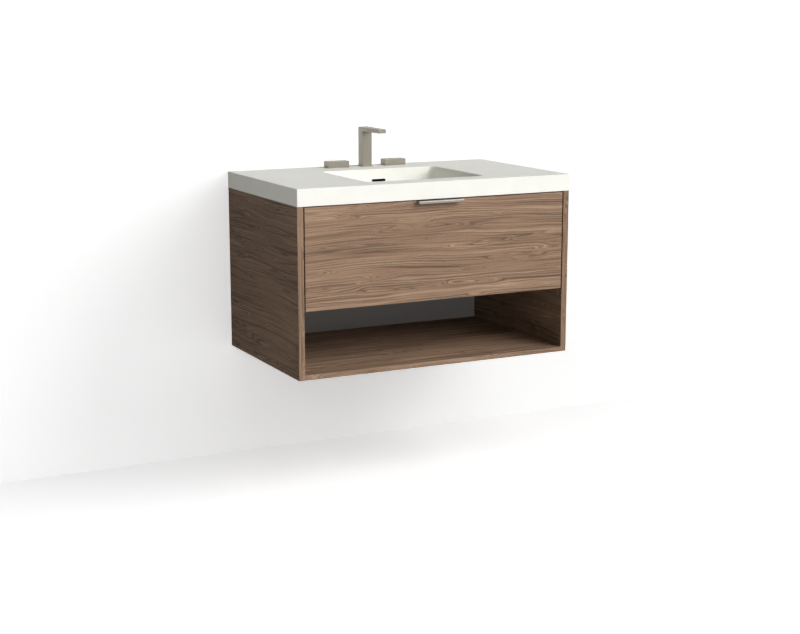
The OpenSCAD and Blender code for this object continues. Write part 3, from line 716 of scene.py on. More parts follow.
class Wear(Enum):
    """The finishes of this vanity, each with the record's slot that it belongs to."""

    FRONT = (WalnutVeneer("walnut_front", Axis.X, Axis.Z, 0.31), "walnut_veneer")
    SHELF = (WalnutVeneer("walnut_shelf", Axis.X, Axis.Y, 2.17, ring=15 * MM), "walnut_veneer")
    DECK = (WalnutVeneer("walnut_deck", Axis.X, Axis.Y, 3.43, ring=15 * MM), "walnut_veneer")
    # The side panels wear a darker copy of the walnut, tone 0.74: painted shade, as if they stood out of
    # the light.
    SIDE_LEFT = (WalnutVeneer("walnut_side_left_painted_shade", Axis.Y, Axis.Z, 5.61, tone=0.74), "walnut_side")
    SIDE_RIGHT = (WalnutVeneer("walnut_side_right_painted_shade", Axis.Y, Axis.Z, 8.29, tone=0.74), "walnut_side")
    EDGE_UP = (WalnutVeneer("walnut_edge_upright", Axis.Z, Axis.X, 1.73, ring=5.6 * MM), "walnut_edge")
    EDGE_ACROSS = (WalnutVeneer("walnut_edge_across", Axis.X, Axis.Z, 4.19, ring=5.6 * MM), "walnut_edge")
    STONE = (SolidSurface("counter_stone"), "solid_surface")
    DUCT = (MouldedPlastic("duct_plastic"), "duct_plastic")
    NICKEL_UP = (BrushedMetal("nickel_upright", Axis.Z), "brushed_nickel")
    NICKEL_ACROSS = (BrushedMetal("nickel_across", Axis.X), "brushed_nickel")
    NICKEL_AWAY = (BrushedMetal("nickel_away", Axis.Y), "brushed_nickel")
    BRIGHT = (BrushedMetal("bright_nickel", Axis.X, srgb(144, 140, 133), rough=0.34), "bright_nickel")
    TURNED = (PlainMetal("turned_nickel", *TURNED_NICKEL, rough=0.26), "bright_nickel")
    ZINC = (PlainMetal("zinc_steel"), "zinc_steel")
    BALL = (PlainMetal("ball_steel", srgb(205, 206, 208), srgb(196, 197, 200), rough=0.18), "zinc_steel")
    BRASS = (PlainMetal("raw_brass", srgb(206, 176, 108), srgb(188, 154, 88), rough=0.30), "raw_brass")
    DRAIN_THREAD = (
        Threaded(
            "threaded_nickel",
            *TURNED_NICKEL,
            rough=0.28,
            centre=DRAIN_CENTRE,
            top=-56 * MM,
            root=20.6 * MM,
        ),
        "bright_nickel",
    )
    BRAID = (Braid("braided_steel", srgb(196, 198, 200), srgb(176, 178, 180), rough=0.30), "braided_steel")
    RUBBER = (Rubber("black_rubber"), "black_rubber")
    PLY_UPRIGHT_Y = (BirchPly("ply_across_wall", Axis.X, Axis.Y), "birch_ply")
    PLY_UPRIGHT_X = (BirchPly("ply_front_to_back", Axis.Y, Axis.X), "birch_ply")
    PLY_FLAT = (BirchPly("ply_flat", Axis.X, Axis.Z), "birch_ply")
    DOWEL = (BirchPly("dowel_birch", Axis.X, Axis.Z, ply=0.5), "birch_ply")

    @property
    def finish(self) -> Finish:
        """The finish itself."""
        return self.value[0]

    @property
    def slot(self) -> str:
        """The record's slot."""
        return self.value[1]


# ---------------------------------------------------------------- the bench


def on_outline(low: Vector, high: Vector) -> EdgeTest:
    """Makes a test for edges that run along the outline of a box.

    Args:
        low: The box's lowest corner.
        high: The box's highest corner.

    Returns:
        The test.
    """

    def test(edge: bmesh.types.BMEdge) -> bool:
        """Tells whether both ends of an edge lie on the same two faces of the box.

        Args:
            edge: The edge.

        Returns:
            Whether it runs along the outline.
        """
        first, second = (end.co for end in edge.verts)
        shared = 0
        for axis in range(3):
            for plane in (low[axis], high[axis]):
                shared += abs(first[axis] - plane) < TOUCH and abs(second[axis] - plane) < TOUCH
        return shared >= 2

    return test


def at_bends(axis: Axis, width: float = 3 * MM) -> EdgeTest:
    """Makes a test for the outer corners of bent sheet metal.

    Args:
        axis: The way that the bends run.
        width: How wide the faces beside a bend are at least, which leaves the sheet's edges out.

    Returns:
        The test.
    """

    def test(edge: bmesh.types.BMEdge) -> bool:
        """Tells whether an edge is a bend's outer corner.

        Args:
            edge: The edge.

        Returns:
            Whether it runs along the bends, outside, between two wide faces.
        """
        first, second = (end.co for end in edge.verts)
        length = abs(first[axis.value] - second[axis.value])
        if not edge.is_convex or length < NEARLY * (first - second).length:
            return False
        return all(face.calc_area() > width * length for face in edge.link_faces)

    return test


def any_edge(_edge: bmesh.types.BMEdge) -> bool:
    """Accepts every sharp edge."""
    return True


def long_edge(edge: bmesh.types.BMEdge, length: float = 4 * MM) -> bool:
    """Accepts sharp edges that are longer than the facets of a hole."""
    return edge.calc_length() > length


def facing(axis: Axis, sign: float) -> FaceTest:
    """Makes a test for faces that look one way.

    Args:
        axis: The axis that they look along.
        sign: 1 for up the axis, -1 for down it.

    Returns:
        The test.
    """

    def test(face: bmesh.types.BMFace) -> bool:
        """Tells whether a face looks that way."""
        return face.normal[axis.value] * sign > NEARLY

    return test


def within(half: float) -> FaceTest:
    """Makes a test for faces that lie near the middle of the vanity's width.

    Args:
        half: How far from the middle their centres lie at most.

    Returns:
        The test.
    """

    def test(face: bmesh.types.BMFace) -> bool:
        """Tells whether a face lies there."""
        return abs(face.calc_center_median().x) < half

    return test


@dataclass(frozen=True)
class Screw:
    """A screw with a cross recess, drawn along Z with its head up and its seat at zero.

    Attributes:
        shank: The shank's radius.
        length: How far it reaches below its seat.
        head: The head's radius.
        thick: The head's height.
        sunk: Whether the head is flat on top and narrows into its hole.
        arm: How far the recess reaches from the middle, as a part of the head's radius.
        slot: Half the recess's width, as a part of the head's radius.
        deep: The recess's depth, as a part of the head's height.
        taper: How much of the recess's size is left at its bottom.
    """

    shank: float
    length: float
    head: float
    thick: float
    sunk: bool = False
    arm: float = 0.58
    slot: float = 0.17
    deep: float = 0.7
    taper: float = 0.6

    @property
    def recess(self) -> tuple[float, float, float]:
        """The recess's length from the middle, half its width, and its depth."""
        return self.arm * self.head, self.slot * self.head, self.deep * self.thick

    def stations(self) -> list[Station]:
        """Draws the outline from the tip to the head's top.

        Returns:
            The radius and height of each step.
        """
        tip = [(0.2 * self.shank, -self.length), (self.shank, 1.6 * self.shank - self.length)]
        if self.sunk:
            return [*tip, (self.shank, -self.thick), (self.head, 0.0)]
        return [
            *tip,
            (self.shank, 0.0),
            (self.head, 0.0),
            (self.head, 0.35 * self.thick),
            (0.90 * self.head, 0.75 * self.thick),
            (0.66 * self.head, self.thick),
        ]


class Bench:
    """Hand steps that every sub-assembly uses: copying, picking, easing, turning and dressing."""

    def __init__(self, frame: dict) -> None:
        """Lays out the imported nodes.
        """
        self.nodes = frame["nodes"]
        bodies = frame["record"]["behaviour"]["bodies"]
        self.body_of = {node: body for body, members in bodies.items() for node in members}

    def take(self, piece: bpy.types.Object) -> bpy.types.Object:
        """Selects one piece alone.

        Args:
            piece: The piece.

        Returns:
            The same piece.
        """
        bpy.ops.object.select_all(action="DESELECT")
        piece.select_set(True)
        bpy.context.view_layer.objects.active = piece
        return piece

    @contextmanager
    def shaping(self, piece: bpy.types.Object, kind: str = "EDGE") -> Iterator[bmesh.types.BMesh]:
        """Opens a piece for work with nothing picked on it.

        Args:
            piece: The piece.
            kind: What is picked: VERT, EDGE or FACE.

        Yields:
            The piece's open mesh.
        """
        self.take(piece)
        bpy.ops.object.mode_set(mode="EDIT")
        bpy.ops.mesh.select_mode(type=kind)
        bpy.ops.mesh.select_all(action="DESELECT")
        yield bmesh.from_edit_mesh(piece.data)
        bpy.ops.object.mode_set(mode="OBJECT")

    def copy(self, node: str) -> bpy.types.Object:
        """Copies a node's mesh as a piece of its own, with its corners joined and flat faces whole.

        Args:
            node: The node's name.

        Returns:
            The new piece.
        """
        piece = bpy.data.objects.new("eased_" + node, self.nodes[node].data.copy())
        bpy.context.scene.collection.objects.link(piece)
        with self.shaping(piece, "VERT"):
            bpy.ops.mesh.select_all(action="SELECT")
            bpy.ops.mesh.customdata_custom_splitnormals_clear()
            bpy.ops.mesh.remove_doubles(threshold=MERGE)
            bpy.ops.mesh.dissolve_limited(angle_limit=FLAT)
        return piece

    def ease(self, piece: bpy.types.Object, wanted: EdgeTest, radius: float, steps: int = 2) -> None:
        """Rounds the sharp edges that a test accepts.

        Args:
            piece: The piece.
            wanted: The test of an edge.
            radius: The rounding, in metres.
            steps: How many facets the rounding has.
        """
        with self.shaping(piece) as mesh:
            for edge in mesh.edges:
                if edge.is_manifold and edge.calc_face_angle() > SHARP:
                    edge.select_set(wanted(edge))
            bpy.ops.mesh.bevel(offset=radius, segments=steps, affect="EDGES")

    def apply(self, piece: bpy.types.Object, kind: str, **settings: object) -> None:
        """Adds a modifier and applies it.

        Args:
            piece: The piece.
            kind: The modifier's type name.
            **settings: Its options.
        """
        self.take(piece)
        modifier = piece.modifiers.new(kind.title(), kind)
        for option, value in settings.items():
            setattr(modifier, option, value)
        bpy.ops.object.modifier_apply(modifier=modifier.name)

    def smooth(self, piece: bpy.types.Object, angle: float = math.radians(40)) -> None:
        """Shades a piece smooth over its roundings and flat over its faces.

        Args:
            piece: The piece.
            angle: How far a surface turns at an edge that stays crisp.
        """
        self.take(piece)
        bpy.ops.object.shade_smooth_by_angle(angle=angle)
        self.apply(piece, "WEIGHTED_NORMAL", mode="FACE_AREA", weight=100, keep_sharp=True)

    def turn(self, name: str, stations: Sequence[Station], sides: int = 24) -> bpy.types.Object:
        """Turns a round solid about Z: a disc that is drawn up and widened station by station.

        Args:
            name: The piece's name.
            stations: The radius and height of each step, from the first end to the last.
            sides: How many facets go round.

        Returns:
            The new piece.
        """
        radius, height = stations[0]
        bpy.ops.object.select_all(action="DESELECT")
        bpy.ops.mesh.primitive_circle_add(vertices=sides, radius=radius, fill_type="NGON")
        piece = bpy.context.object
        piece.name = name
        with self.shaping(piece, "FACE"):
            bpy.ops.mesh.select_all(action="SELECT")
            bpy.ops.transform.translate(value=(0.0, 0.0, height))
            for wide, high in stations[1:]:
                bpy.ops.mesh.extrude_region_move(TRANSFORM_OT_translate={"value": (0, 0, high - height)})
                part = wide / radius
                bpy.ops.transform.resize(value=(part, part, 1.0), center_override=(0.0, 0.0, high))
                radius, height = wide, high
            bpy.ops.mesh.select_all(action="SELECT")
            bpy.ops.mesh.normals_make_consistent(inside=False)
        return piece

    def cut(self, piece: bpy.types.Object, tool: bpy.types.Object) -> None:
        """Cuts one piece with another and throws the tool away."""
        self.apply(piece, "BOOLEAN", operation="DIFFERENCE", solver="EXACT", object=tool)
        bpy.data.objects.remove(tool)

    def screw(self, pattern: Screw) -> bpy.types.Object:
        """Makes one screw with a tapered cross recess.

        Args:
            pattern: Its sizes.

        Returns:
            The screw.
        """
        piece = self.turn("screw_pattern", pattern.stations())
        top = 0.0 if pattern.sunk else pattern.thick
        arm, slot, deep = pattern.recess
        at_bottom = facing(Axis.Z, -1.0)
        for half_size in ((arm, slot, deep), (slot, arm, deep)):
            bpy.ops.object.select_all(action="DESELECT")
            bpy.ops.mesh.primitive_cube_add(size=2.0, location=(0.0, 0.0, top))
            tool = bpy.context.object
            bpy.ops.transform.resize(value=half_size)
            bpy.ops.object.transform_apply(location=True, scale=True)
            with self.shaping(tool, "FACE") as mesh:
                for face in mesh.faces:
                    face.select_set(at_bottom(face))
                narrower = (pattern.taper, pattern.taper, 1.0)
                bpy.ops.transform.resize(value=narrower, center_override=(0.0, 0.0, 0.0))
            self.cut(piece, tool)
        self.smooth(piece, angle=math.radians(35))
        return piece

    def spots(self, node: str) -> list[Matrix]:
        """Finds where each screw of a node sits, and which way its head looks.

        Args:
            node: The node, whose loose parts are screws.

        Returns:
            For each screw, the move that brings a pattern to it.
        """
        whole = self.copy(node)
        self.take(whole)
        bpy.ops.mesh.separate(type="LOOSE")
        found = []
        for part in list(bpy.context.selected_objects):
            corners = [corner.co.copy() for corner in part.data.vertices]
            low = Vector([min(corner[axis] for corner in corners) for axis in range(3)])
            high = Vector([max(corner[axis] for corner in corners) for axis in range(3)])
            middle, size = (low + high) / 2, high - low
            along = max(range(3), key=lambda axis: size[axis])
            line = Vector([float(axis == along) for axis in range(3)])
            rim = NEARLY * sorted(size)[1] / 2
            wide = [corner for corner in corners if self.off(corner, middle, line) > rim]
            sign = math.copysign(1.0, sum((corner - middle).dot(line) for corner in wide))
            seat = min((corner - middle).dot(sign * line) for corner in wide)
            turn = (sign * line).to_track_quat("Z", "Y").to_matrix().to_4x4()
            found.append(Matrix.Translation(middle + seat * sign * line) @ turn)
            bpy.data.objects.remove(part)
        return found

    @staticmethod
    def off(point: Vector, middle: Vector, line: Vector) -> float:
        """Returns how far a point lies from a line through the middle."""
        away = point - middle
        return (away - away.dot(line) * line).length

    def drive(self, node: str, pattern: Screw, wear: Wear, step: float = 0.9) -> bpy.types.Object:
        """Puts a copy of one screw at each place of a node, each turned a little further.

        Args:
            node: The node that the screws stand for.
            pattern: The screw's sizes.
            wear: Its finish.
            step: How far each screw is turned past the one before, in radians.

        Returns:
            All the node's screws as one piece.
        """
        first = self.screw(pattern)
        copies = []
        for count, spot in enumerate(self.spots(node)):
            mesh = first.data.copy()
            mesh.transform(spot @ Matrix.Rotation(step * count, 4, "Z"))
            copies.append(bpy.data.objects.new("driven_" + node, mesh))
            bpy.context.scene.collection.objects.link(copies[-1])
        bpy.data.objects.remove(first)
        piece = self.take(copies[0])
        for other in copies[1:]:
            other.select_set(True)
        bpy.ops.object.join()
        return self.stand_for(piece, node, wear)

    def dress(self, piece: bpy.types.Object, wear: Wear) -> None:
        """Gives a piece one finish all over."""
        piece.data.materials.clear()
        piece.data.materials.append(wear.finish.material())

    def redress(self, piece: bpy.types.Object, wear: Wear, wanted: FaceTest) -> None:
        """Gives the faces that a test accepts a finish of their own.

        Args:
            piece: The piece, already dressed.
            wear: The finish.
            wanted: The test of a face.
        """
        piece.data.materials.append(wear.finish.material())
        with self.shaping(piece, "FACE") as mesh:
            for face in mesh.faces:
                face.select_set(wanted(face))
            piece.active_material_index = len(piece.data.materials) - 1
            bpy.ops.object.material_slot_assign()

    def score(self, piece: bpy.types.Object, axis: Axis, place: float) -> None:
        """Divides a piece's faces where a plane crosses them, and leaves its shape as it is.

        Args:
            piece: The piece.
            axis: The way that the plane faces.
            place: Where it stands on that axis.
        """
        normal = Vector([float(axis.value == part) for part in range(3)])
        with self.shaping(piece):
            bpy.ops.mesh.select_all(action="SELECT")
            bpy.ops.mesh.bisect(plane_co=place * normal, plane_no=normal)

    def stand_for(self, piece: bpy.types.Object, node: str, wear: Wear) -> bpy.types.Object:
        """Lets a finished piece stand for a node.

        Args:
            piece: The piece.
            node: The node that it stands for.
            wear: Its finish.

        Returns:
            The piece.
        """
        self.dress(piece, wear)
        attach(piece, self.body_of[node])
        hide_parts(node)
        LOG.info("%s stands for %s, %d faces", piece.name, node, len(piece.data.polygons))
        return piece

    def keep(self, node: str, wear: Wear) -> None:
        """Leaves a node's own shape in view, with a finish of its own."""
        self.dress(self.nodes[node], wear)
        LOG.info("%s keeps its shape", node)

    def bent(self, node: str, wear: Wear, axis: Axis, radius: float) -> bpy.types.Object:
        """Makes a copy of a bent sheet with round bends and eased edges, and lets it stand for it.

        Args:
            node: The node's name.
            wear: Its finish.
            axis: The way that its bends run.
            radius: The bends' outer radius.

        Returns:
            The piece.
        """
        piece = self.copy(node)
        self.ease(piece, at_bends(axis), radius, steps=4)
        self.ease(piece, long_edge, SHEET_EDGE)
        self.smooth(piece)
        return self.stand_for(piece, node, wear)

    def eased(
        self, node: str, wear: Wear, radius: float, wanted: EdgeTest | None = None, steps: int = 2
    ) -> bpy.types.Object:
        """Makes a copy of a node with eased edges, and lets it stand for the node.

        Args:
            node: The node's name.
            wear: Its finish.
            radius: The rounding.
            wanted: Which edges are eased; the node's outline if none is given.
            steps: How many facets the rounding has.

        Returns:
            The piece.
        """
        piece = self.copy(node)
        self.ease(piece, wanted or on_outline(*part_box(node)), radius, steps)
        self.smooth(piece)
        return self.stand_for(piece, node, wear)


# ---------------------------------------------------------------- sub-assemblies


@dataclass
class Cabinet:
    """The open box: two sides, shelf, deck, rails and the bands on their front edges."""

    bench: Bench
    ease: float = 0.5 * MM
    band_ease: float = 0.3 * MM
    bumper_ease: float = 0.8 * MM
    bracket_bend: float = 1.2 * MM
    bracket_screw: Screw = Screw(shank=1.9 * MM, length=14 * MM, head=3.5 * MM, thick=2.0 * MM)

    def build(self) -> None:
        """Builds and dresses the cabinet's pieces."""
        for node, wear, cut_edge in (
            ("side_panel_left", Wear.SIDE_LEFT, Wear.PLY_UPRIGHT_X),
            ("side_panel_right", Wear.SIDE_RIGHT, Wear.PLY_UPRIGHT_X),
            ("shelf_panel", Wear.SHELF, Wear.PLY_FLAT),
            ("drawer_deck", Wear.DECK, Wear.PLY_FLAT),
            ("upper_wall_rail", Wear.PLY_UPRIGHT_Y, None),
            ("lower_wall_rail", Wear.PLY_UPRIGHT_Y, None),
            ("front_stretcher", Wear.PLY_FLAT, None),
        ):
            piece = self.bench.eased(node, wear, self.ease)
            if cut_edge:
                self.bench.redress(piece, cut_edge, facing(Axis.Y, 1.0))
        bands = self.bench.eased("edge_bands", Wear.EDGE_UP, self.band_ease, any_edge)
        inner_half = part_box("shelf_panel")[1].x
        for joint in (-inner_half, inner_half):
            self.bench.score(bands, Axis.X, joint)
        self.bench.redress(bands, Wear.EDGE_ACROSS, within(inner_half))
        self.bench.keep("panel_dowels", Wear.DOWEL)
        self.bench.bent("corner_brackets", Wear.ZINC, Axis.Z, self.bracket_bend)
        self.bench.drive("bracket_screws", self.bracket_screw, Wear.ZINC)
        self.bench.eased("drawer_bumpers", Wear.RUBBER, self.bumper_ease, any_edge, steps=3)


@dataclass
class Counter:
    """The moulded counter with its basin, and the overflow duct behind it.

    Attributes:
        edge: The rounding of the counter's outline.
        rim: The rounding of the basin's rim.
        border: How far inside the outline the rim is at least.
        slot_drop: How far under the counter's top the overflow slot is.
        slot_ahead: How far in front of the duct's back the slot's mouth is.
        sleeve_play: The gap round the slot's sleeve.
        sleeve_wall: How thick the sleeve is.
    """

    bench: Bench
    edge: float = 1.2 * MM
    rim: float = 2.0 * MM
    border: float = 30 * MM
    slot_length: float = 49 * MM
    slot_height: float = 8.2 * MM
    slot_depth: float = 11.5 * MM
    slot_drop: float = 36.5 * MM
    slot_ahead: float = 30.3 * MM
    sleeve_play: float = 0.1 * MM
    sleeve_wall: float = 0.9 * MM

    def build(self) -> None:
        """Builds and dresses the counter's pieces."""
        low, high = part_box("countertop_basin")
        tap_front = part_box("spout_flange")[0].y
        piece = self.bench.copy("countertop_basin")
        self.bench.ease(piece, on_outline(low, high), self.edge, steps=3)

        def at_rim(edge: bmesh.types.BMEdge) -> bool:
            """Tells whether an edge is on the basin's rim: in the top face, between outline and tap.

            Args:
                edge: The edge.

            Returns:
                Whether it is.
            """
            ends = [end.co for end in edge.verts]
            level = all(abs(end.z - high.z) < TOUCH for end in ends)
            deep = all(low.y + self.border < end.y < tap_front for end in ends)
            return level and deep and all(abs(end.x) < high.x - self.border for end in ends)

        self.bench.ease(piece, at_rim, self.rim, steps=3)
        self.bench.smooth(piece)
        self.bench.stand_for(piece, "countertop_basin", Wear.STONE)
        self.bench.keep("overflow_duct", Wear.DUCT)
        self.line_slot()

    def line_slot(self) -> None:
        """Lines the overflow slot with the duct's black sleeve, a hair proud of the basin; its black also
        stands in for the shade inside the slot.
        """
        half = (self.slot_length - self.slot_height) / 2
        radius = self.slot_height / 2 - self.sleeve_play
        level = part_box("countertop_basin")[1].z - self.slot_drop
        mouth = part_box("overflow_duct")[1].y - self.slot_ahead
        bpy.ops.object.select_all(action="DESELECT")
        bpy.ops.mesh.primitive_circle_add(vertices=32, radius=radius, fill_type="NOTHING")
        sleeve = bpy.context.object
        sleeve.name = "overflow_sleeve"
        with self.bench.shaping(sleeve, "VERT") as mesh:
            for corner in mesh.verts:
                corner.select_set(corner.co.x > TOUCH)
            bpy.ops.transform.translate(value=(half, 0.0, 0.0))
            bpy.ops.mesh.select_all(action="INVERT")
            bpy.ops.transform.translate(value=(-half, 0.0, 0.0))
            bpy.ops.mesh.select_all(action="SELECT")
            bpy.ops.mesh.extrude_region_move(TRANSFORM_OT_translate={"value": (0.0, 0.0, self.slot_depth)})
        bpy.ops.transform.translate(value=(0.0, mouth, level))
        sleeve.rotation_euler = (math.radians(-90), 0.0, 0.0)
        bpy.ops.object.transform_apply(location=True, rotation=True)
        with self.bench.shaping(sleeve):
            bpy.ops.mesh.select_all(action="SELECT")
            bpy.ops.mesh.normals_make_consistent(inside=False)
        self.bench.apply(sleeve, "SOLIDIFY", thickness=self.sleeve_wall, offset=-1.0, use_even_offset=True)
        self.bench.ease(sleeve, any_edge, SHEET_EDGE)
        self.bench.smooth(sleeve)
        # The black sleeve darkens the slot: partly the duct's plastic, partly painted shade.
        self.bench.dress(sleeve, Wear.DUCT)
        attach(sleeve, "cabinet")
        LOG.info("%s, %d faces", sleeve.name, len(sleeve.data.polygons))


@dataclass
class Drain:
    """The drain through the basin's floor."""

    bench: Bench
    body_ease: float = 0.6 * MM
    stopper_ease: float = 1.0 * MM
    nut_ease: float = 0.9 * MM
    pipe_ease: float = 0.35 * MM
    gasket_ease: float = 0.8 * MM

    def build(self) -> None:
        """Builds and dresses the drain's pieces."""
        self.bench.eased("drain_body", Wear.DRAIN_THREAD, self.body_ease, any_edge, steps=3)
        self.bench.eased("drain_stopper", Wear.TURNED, self.stopper_ease, any_edge, steps=4)
        self.bench.eased("drain_nut", Wear.TURNED, self.nut_ease, any_edge, steps=1)
        self.bench.eased("drain_tailpiece", Wear.TURNED, self.pipe_ease, any_edge)
        self.bench.keep("drain_guide", Wear.TURNED)
        self.bench.eased("drain_gasket", Wear.RUBBER, self.gasket_ease, any_edge)


@dataclass
class Tap:
    """Spout, two handles, and what holds and feeds them under the counter.

    Attributes:
        hair: How far in front of the spout's column a face of its arm is at least.
        level: How much of a face's normal points up on the arm's top.
    """

    bench: Bench
    ease: float = 0.6 * MM
    plate_ease: float = 0.3 * MM
    washer_ease: float = 0.5 * MM
    nut_ease: float = 0.8 * MM
    hair: float = 0.1 * MM
    level: float = 0.9

    def build(self) -> None:
        """Builds and dresses the tap's pieces."""
        spout = self.bench.eased("spout_body", Wear.NICKEL_UP, self.ease, any_edge)
        self.bench.redress(spout, Wear.NICKEL_AWAY, self.on_arm(*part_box("spout_body")))
        self.bench.eased("spout_flange", Wear.NICKEL_ACROSS, self.plate_ease)
        for side in ("hot", "cold"):
            self.bench.eased(side + "_handle", Wear.NICKEL_ACROSS, self.ease)
            self.bench.keep(side + "_stem", Wear.BRASS)
            self.bench.keep(side + "_valve", Wear.BRASS)
            self.bench.keep(side + "_hose", Wear.BRAID)
        self.bench.eased("handle_escutcheons", Wear.NICKEL_ACROSS, self.plate_ease, any_edge)
        self.bench.eased("spout_aerator", Wear.ZINC, self.plate_ease, any_edge, steps=1)
        self.bench.eased("spout_washer", Wear.RUBBER, self.washer_ease, any_edge)
        for node in ("spout_nut", "valve_nuts", "mixing_tee"):
            self.bench.eased(node, Wear.BRASS, self.nut_ease, any_edge, steps=1)
        self.bench.keep("spout_shank", Wear.BRASS)

    def on_arm(self, low: Vector, high: Vector) -> FaceTest:
        """Makes a test for the spout's arm and its top, which runs on over the square column.

        Args:
            low: The spout's lowest corner.
            high: The spout's highest corner.

        Returns:
            The test.
        """
        arm_start = high.y - (high.x - low.x) - self.hair
        arm_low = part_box("spout_aerator")[0].z

        def test(face: bmesh.types.BMFace) -> bool:
            """Tells whether a face belongs to them."""
            centre = face.calc_center_median()
            return centre.y < arm_start or (face.normal.z > self.level and centre.z > arm_low)

        return test


@dataclass
class Drawer:
    """Drawer front with its pull, and the plywood box behind it."""

    bench: Bench
    ease: float = 0.5 * MM
    pull_bend: float = 1.8 * MM
    pull_screw: Screw = Screw(shank=1.75 * MM, length=14 * MM, head=3.5 * MM, thick=2.0 * MM, sunk=True)
    front_screw: Screw = Screw(shank=2.0 * MM, length=27 * MM, head=4.5 * MM, thick=2.2 * MM)

    def build(self) -> None:
        """Builds and dresses the drawer's pieces."""
        self.bench.eased("drawer_front", Wear.FRONT, self.ease)
        self.bench.bent("drawer_pull", Wear.BRIGHT, Axis.X, self.pull_bend)
        for node, wear in (
            ("drawer_subfront", Wear.PLY_UPRIGHT_Y),
            ("drawer_side_left", Wear.PLY_UPRIGHT_X),
            ("drawer_side_right", Wear.PLY_UPRIGHT_X),
            ("drawer_backs", Wear.PLY_UPRIGHT_Y),
            ("notch_wall_left", Wear.PLY_UPRIGHT_X),
            ("notch_wall_right", Wear.PLY_UPRIGHT_X),
            ("notch_wall_front", Wear.PLY_UPRIGHT_Y),
            ("drawer_bottom", Wear.PLY_FLAT),
        ):
            self.bench.eased(node, wear, self.ease)
        self.bench.drive("pull_screws", self.pull_screw, Wear.ZINC)
        self.bench.drive("front_screws", self.front_screw, Wear.ZINC)


@dataclass
class Slides:
    """Two ball slides that carry the drawer."""

    bench: Bench
    bend: float = 1.0 * MM
    side_screw: Screw = Screw(shank=1.9 * MM, length=14 * MM, head=3.5 * MM, thick=0.9 * MM)
    box_screw: Screw = Screw(shank=1.9 * MM, length=12 * MM, head=3.5 * MM, thick=0.9 * MM)

    def build(self) -> None:
        """Builds and dresses the slides' pieces."""
        for side in ("left", "right"):
            for member in ("outer", "middle", "inner"):
                self.bench.bent(f"slide_{member}_{side}", Wear.ZINC, Axis.Y, self.bend)
        for node in ("ball_cages_outer", "ball_cages_inner"):
            self.bench.keep(node, Wear.BALL)
        self.bench.drive("slide_screws_cabinet", self.side_screw, Wear.ZINC)
        self.bench.drive("slide_screws_drawer", self.box_screw, Wear.ZINC)


# ---------------------------------------------------------------- the studio


@dataclass(frozen=True)
class Backdrop(Finish):
    """White paper whose shadows look soft, with painted shade on a stretch behind the open cabinet if
    wanted.

    Attributes:
        glow: The light of its own that the camera, gloss and glass see.
        shade: How much of the lamps' light it shows to them.
        sent: How much of that light it sends back to the vanity.
        see_through: Whether it can be looked through from behind.
        niche: Half the width, the bottom and the top of the stretch with painted shade.
        niche_glow: The glow of that stretch, lowered as painted shade.
        niche_part: How much of the lamps' light that stretch shows beside the rest, lowered as painted
            shade.
    """

    glow: float
    shade: float
    sent: float
    see_through: bool = False
    niche: tuple[float, float, float] | None = None
    niche_glow: float = 0.029
    niche_part: float = 0.4

    @staticmethod
    def outside(graph: Graph, half: float, low: float, high: float) -> Socket:
        """Tells the open wall from the part of it behind the open cabinet, where shade is painted.

        Args:
            graph: The material's graph.
            half: How far that part reaches to each side.
            low: Where it starts.
            high: Where it ends.

        Returns:
            1 on the open wall and 0 behind the cabinet.
        """
        east, _north, up = graph.place()
        aside = graph.math("GREATER_THAN", graph.math("ABSOLUTE", east), half)
        under = graph.math("LESS_THAN", up, low)
        over = graph.math("GREATER_THAN", up, high)
        return graph.math("MAXIMUM", aside, graph.math("MAXIMUM", under, over))

    def write(self, graph: Graph) -> bpy.types.Material:
        """Writes a white for what the camera, gloss and glass see, and paper for the rest.

        Args:
            graph: The material's empty graph.

        Returns:
            The finished material.
        """
        path = graph.node("ShaderNodeLightPath")
        shown = graph.math("MAXIMUM", path.outputs["Is Camera Ray"], path.outputs["Is Glossy Ray"])
        shown = graph.math("MAXIMUM", shown, path.outputs["Is Transmission Ray"])
        tone = graph.spread(shown, (0.0, 1.0), (self.sent, self.shade))
        glow = self.glow
        # Painted shade: behind the open cabinet the glow and the lamps' light that is shown are lowered.
        if self.niche:
            open_wall = self.outside(graph, *self.niche)
            glow = graph.math("MULTIPLY_ADD", open_wall, self.glow - self.niche_glow, self.niche_glow)
            part = graph.math("MULTIPLY_ADD", open_wall, 1.0 - self.niche_part, self.niche_part)
            tone = graph.math("MULTIPLY", tone, part)
        paper = graph.node("ShaderNodeBsdfDiffuse")
        graph.feed(paper.inputs[0], tone)
        white = graph.node("ShaderNodeEmission")
        graph.feed(white.inputs["Strength"], graph.math("MULTIPLY", shown, glow))
        both = graph.node("ShaderNodeAddShader")
        graph.feed(both.inputs[0], paper.outputs[0])
        graph.feed(both.inputs[1], white.outputs[0])
        surface = both.outputs[0]
        if self.see_through:
            gate = graph.node("ShaderNodeMixShader")
            graph.feed(gate.inputs[0], graph.node("ShaderNodeNewGeometry").outputs["Backfacing"])
            graph.feed(gate.inputs[1], surface)
            graph.feed(gate.inputs[2], graph.node("ShaderNodeBsdfTransparent").outputs[0])
            surface = gate.outputs[0]
        output = graph.node("ShaderNodeOutputMaterial")
        graph.feed(output.inputs[0], surface)
        return graph.material


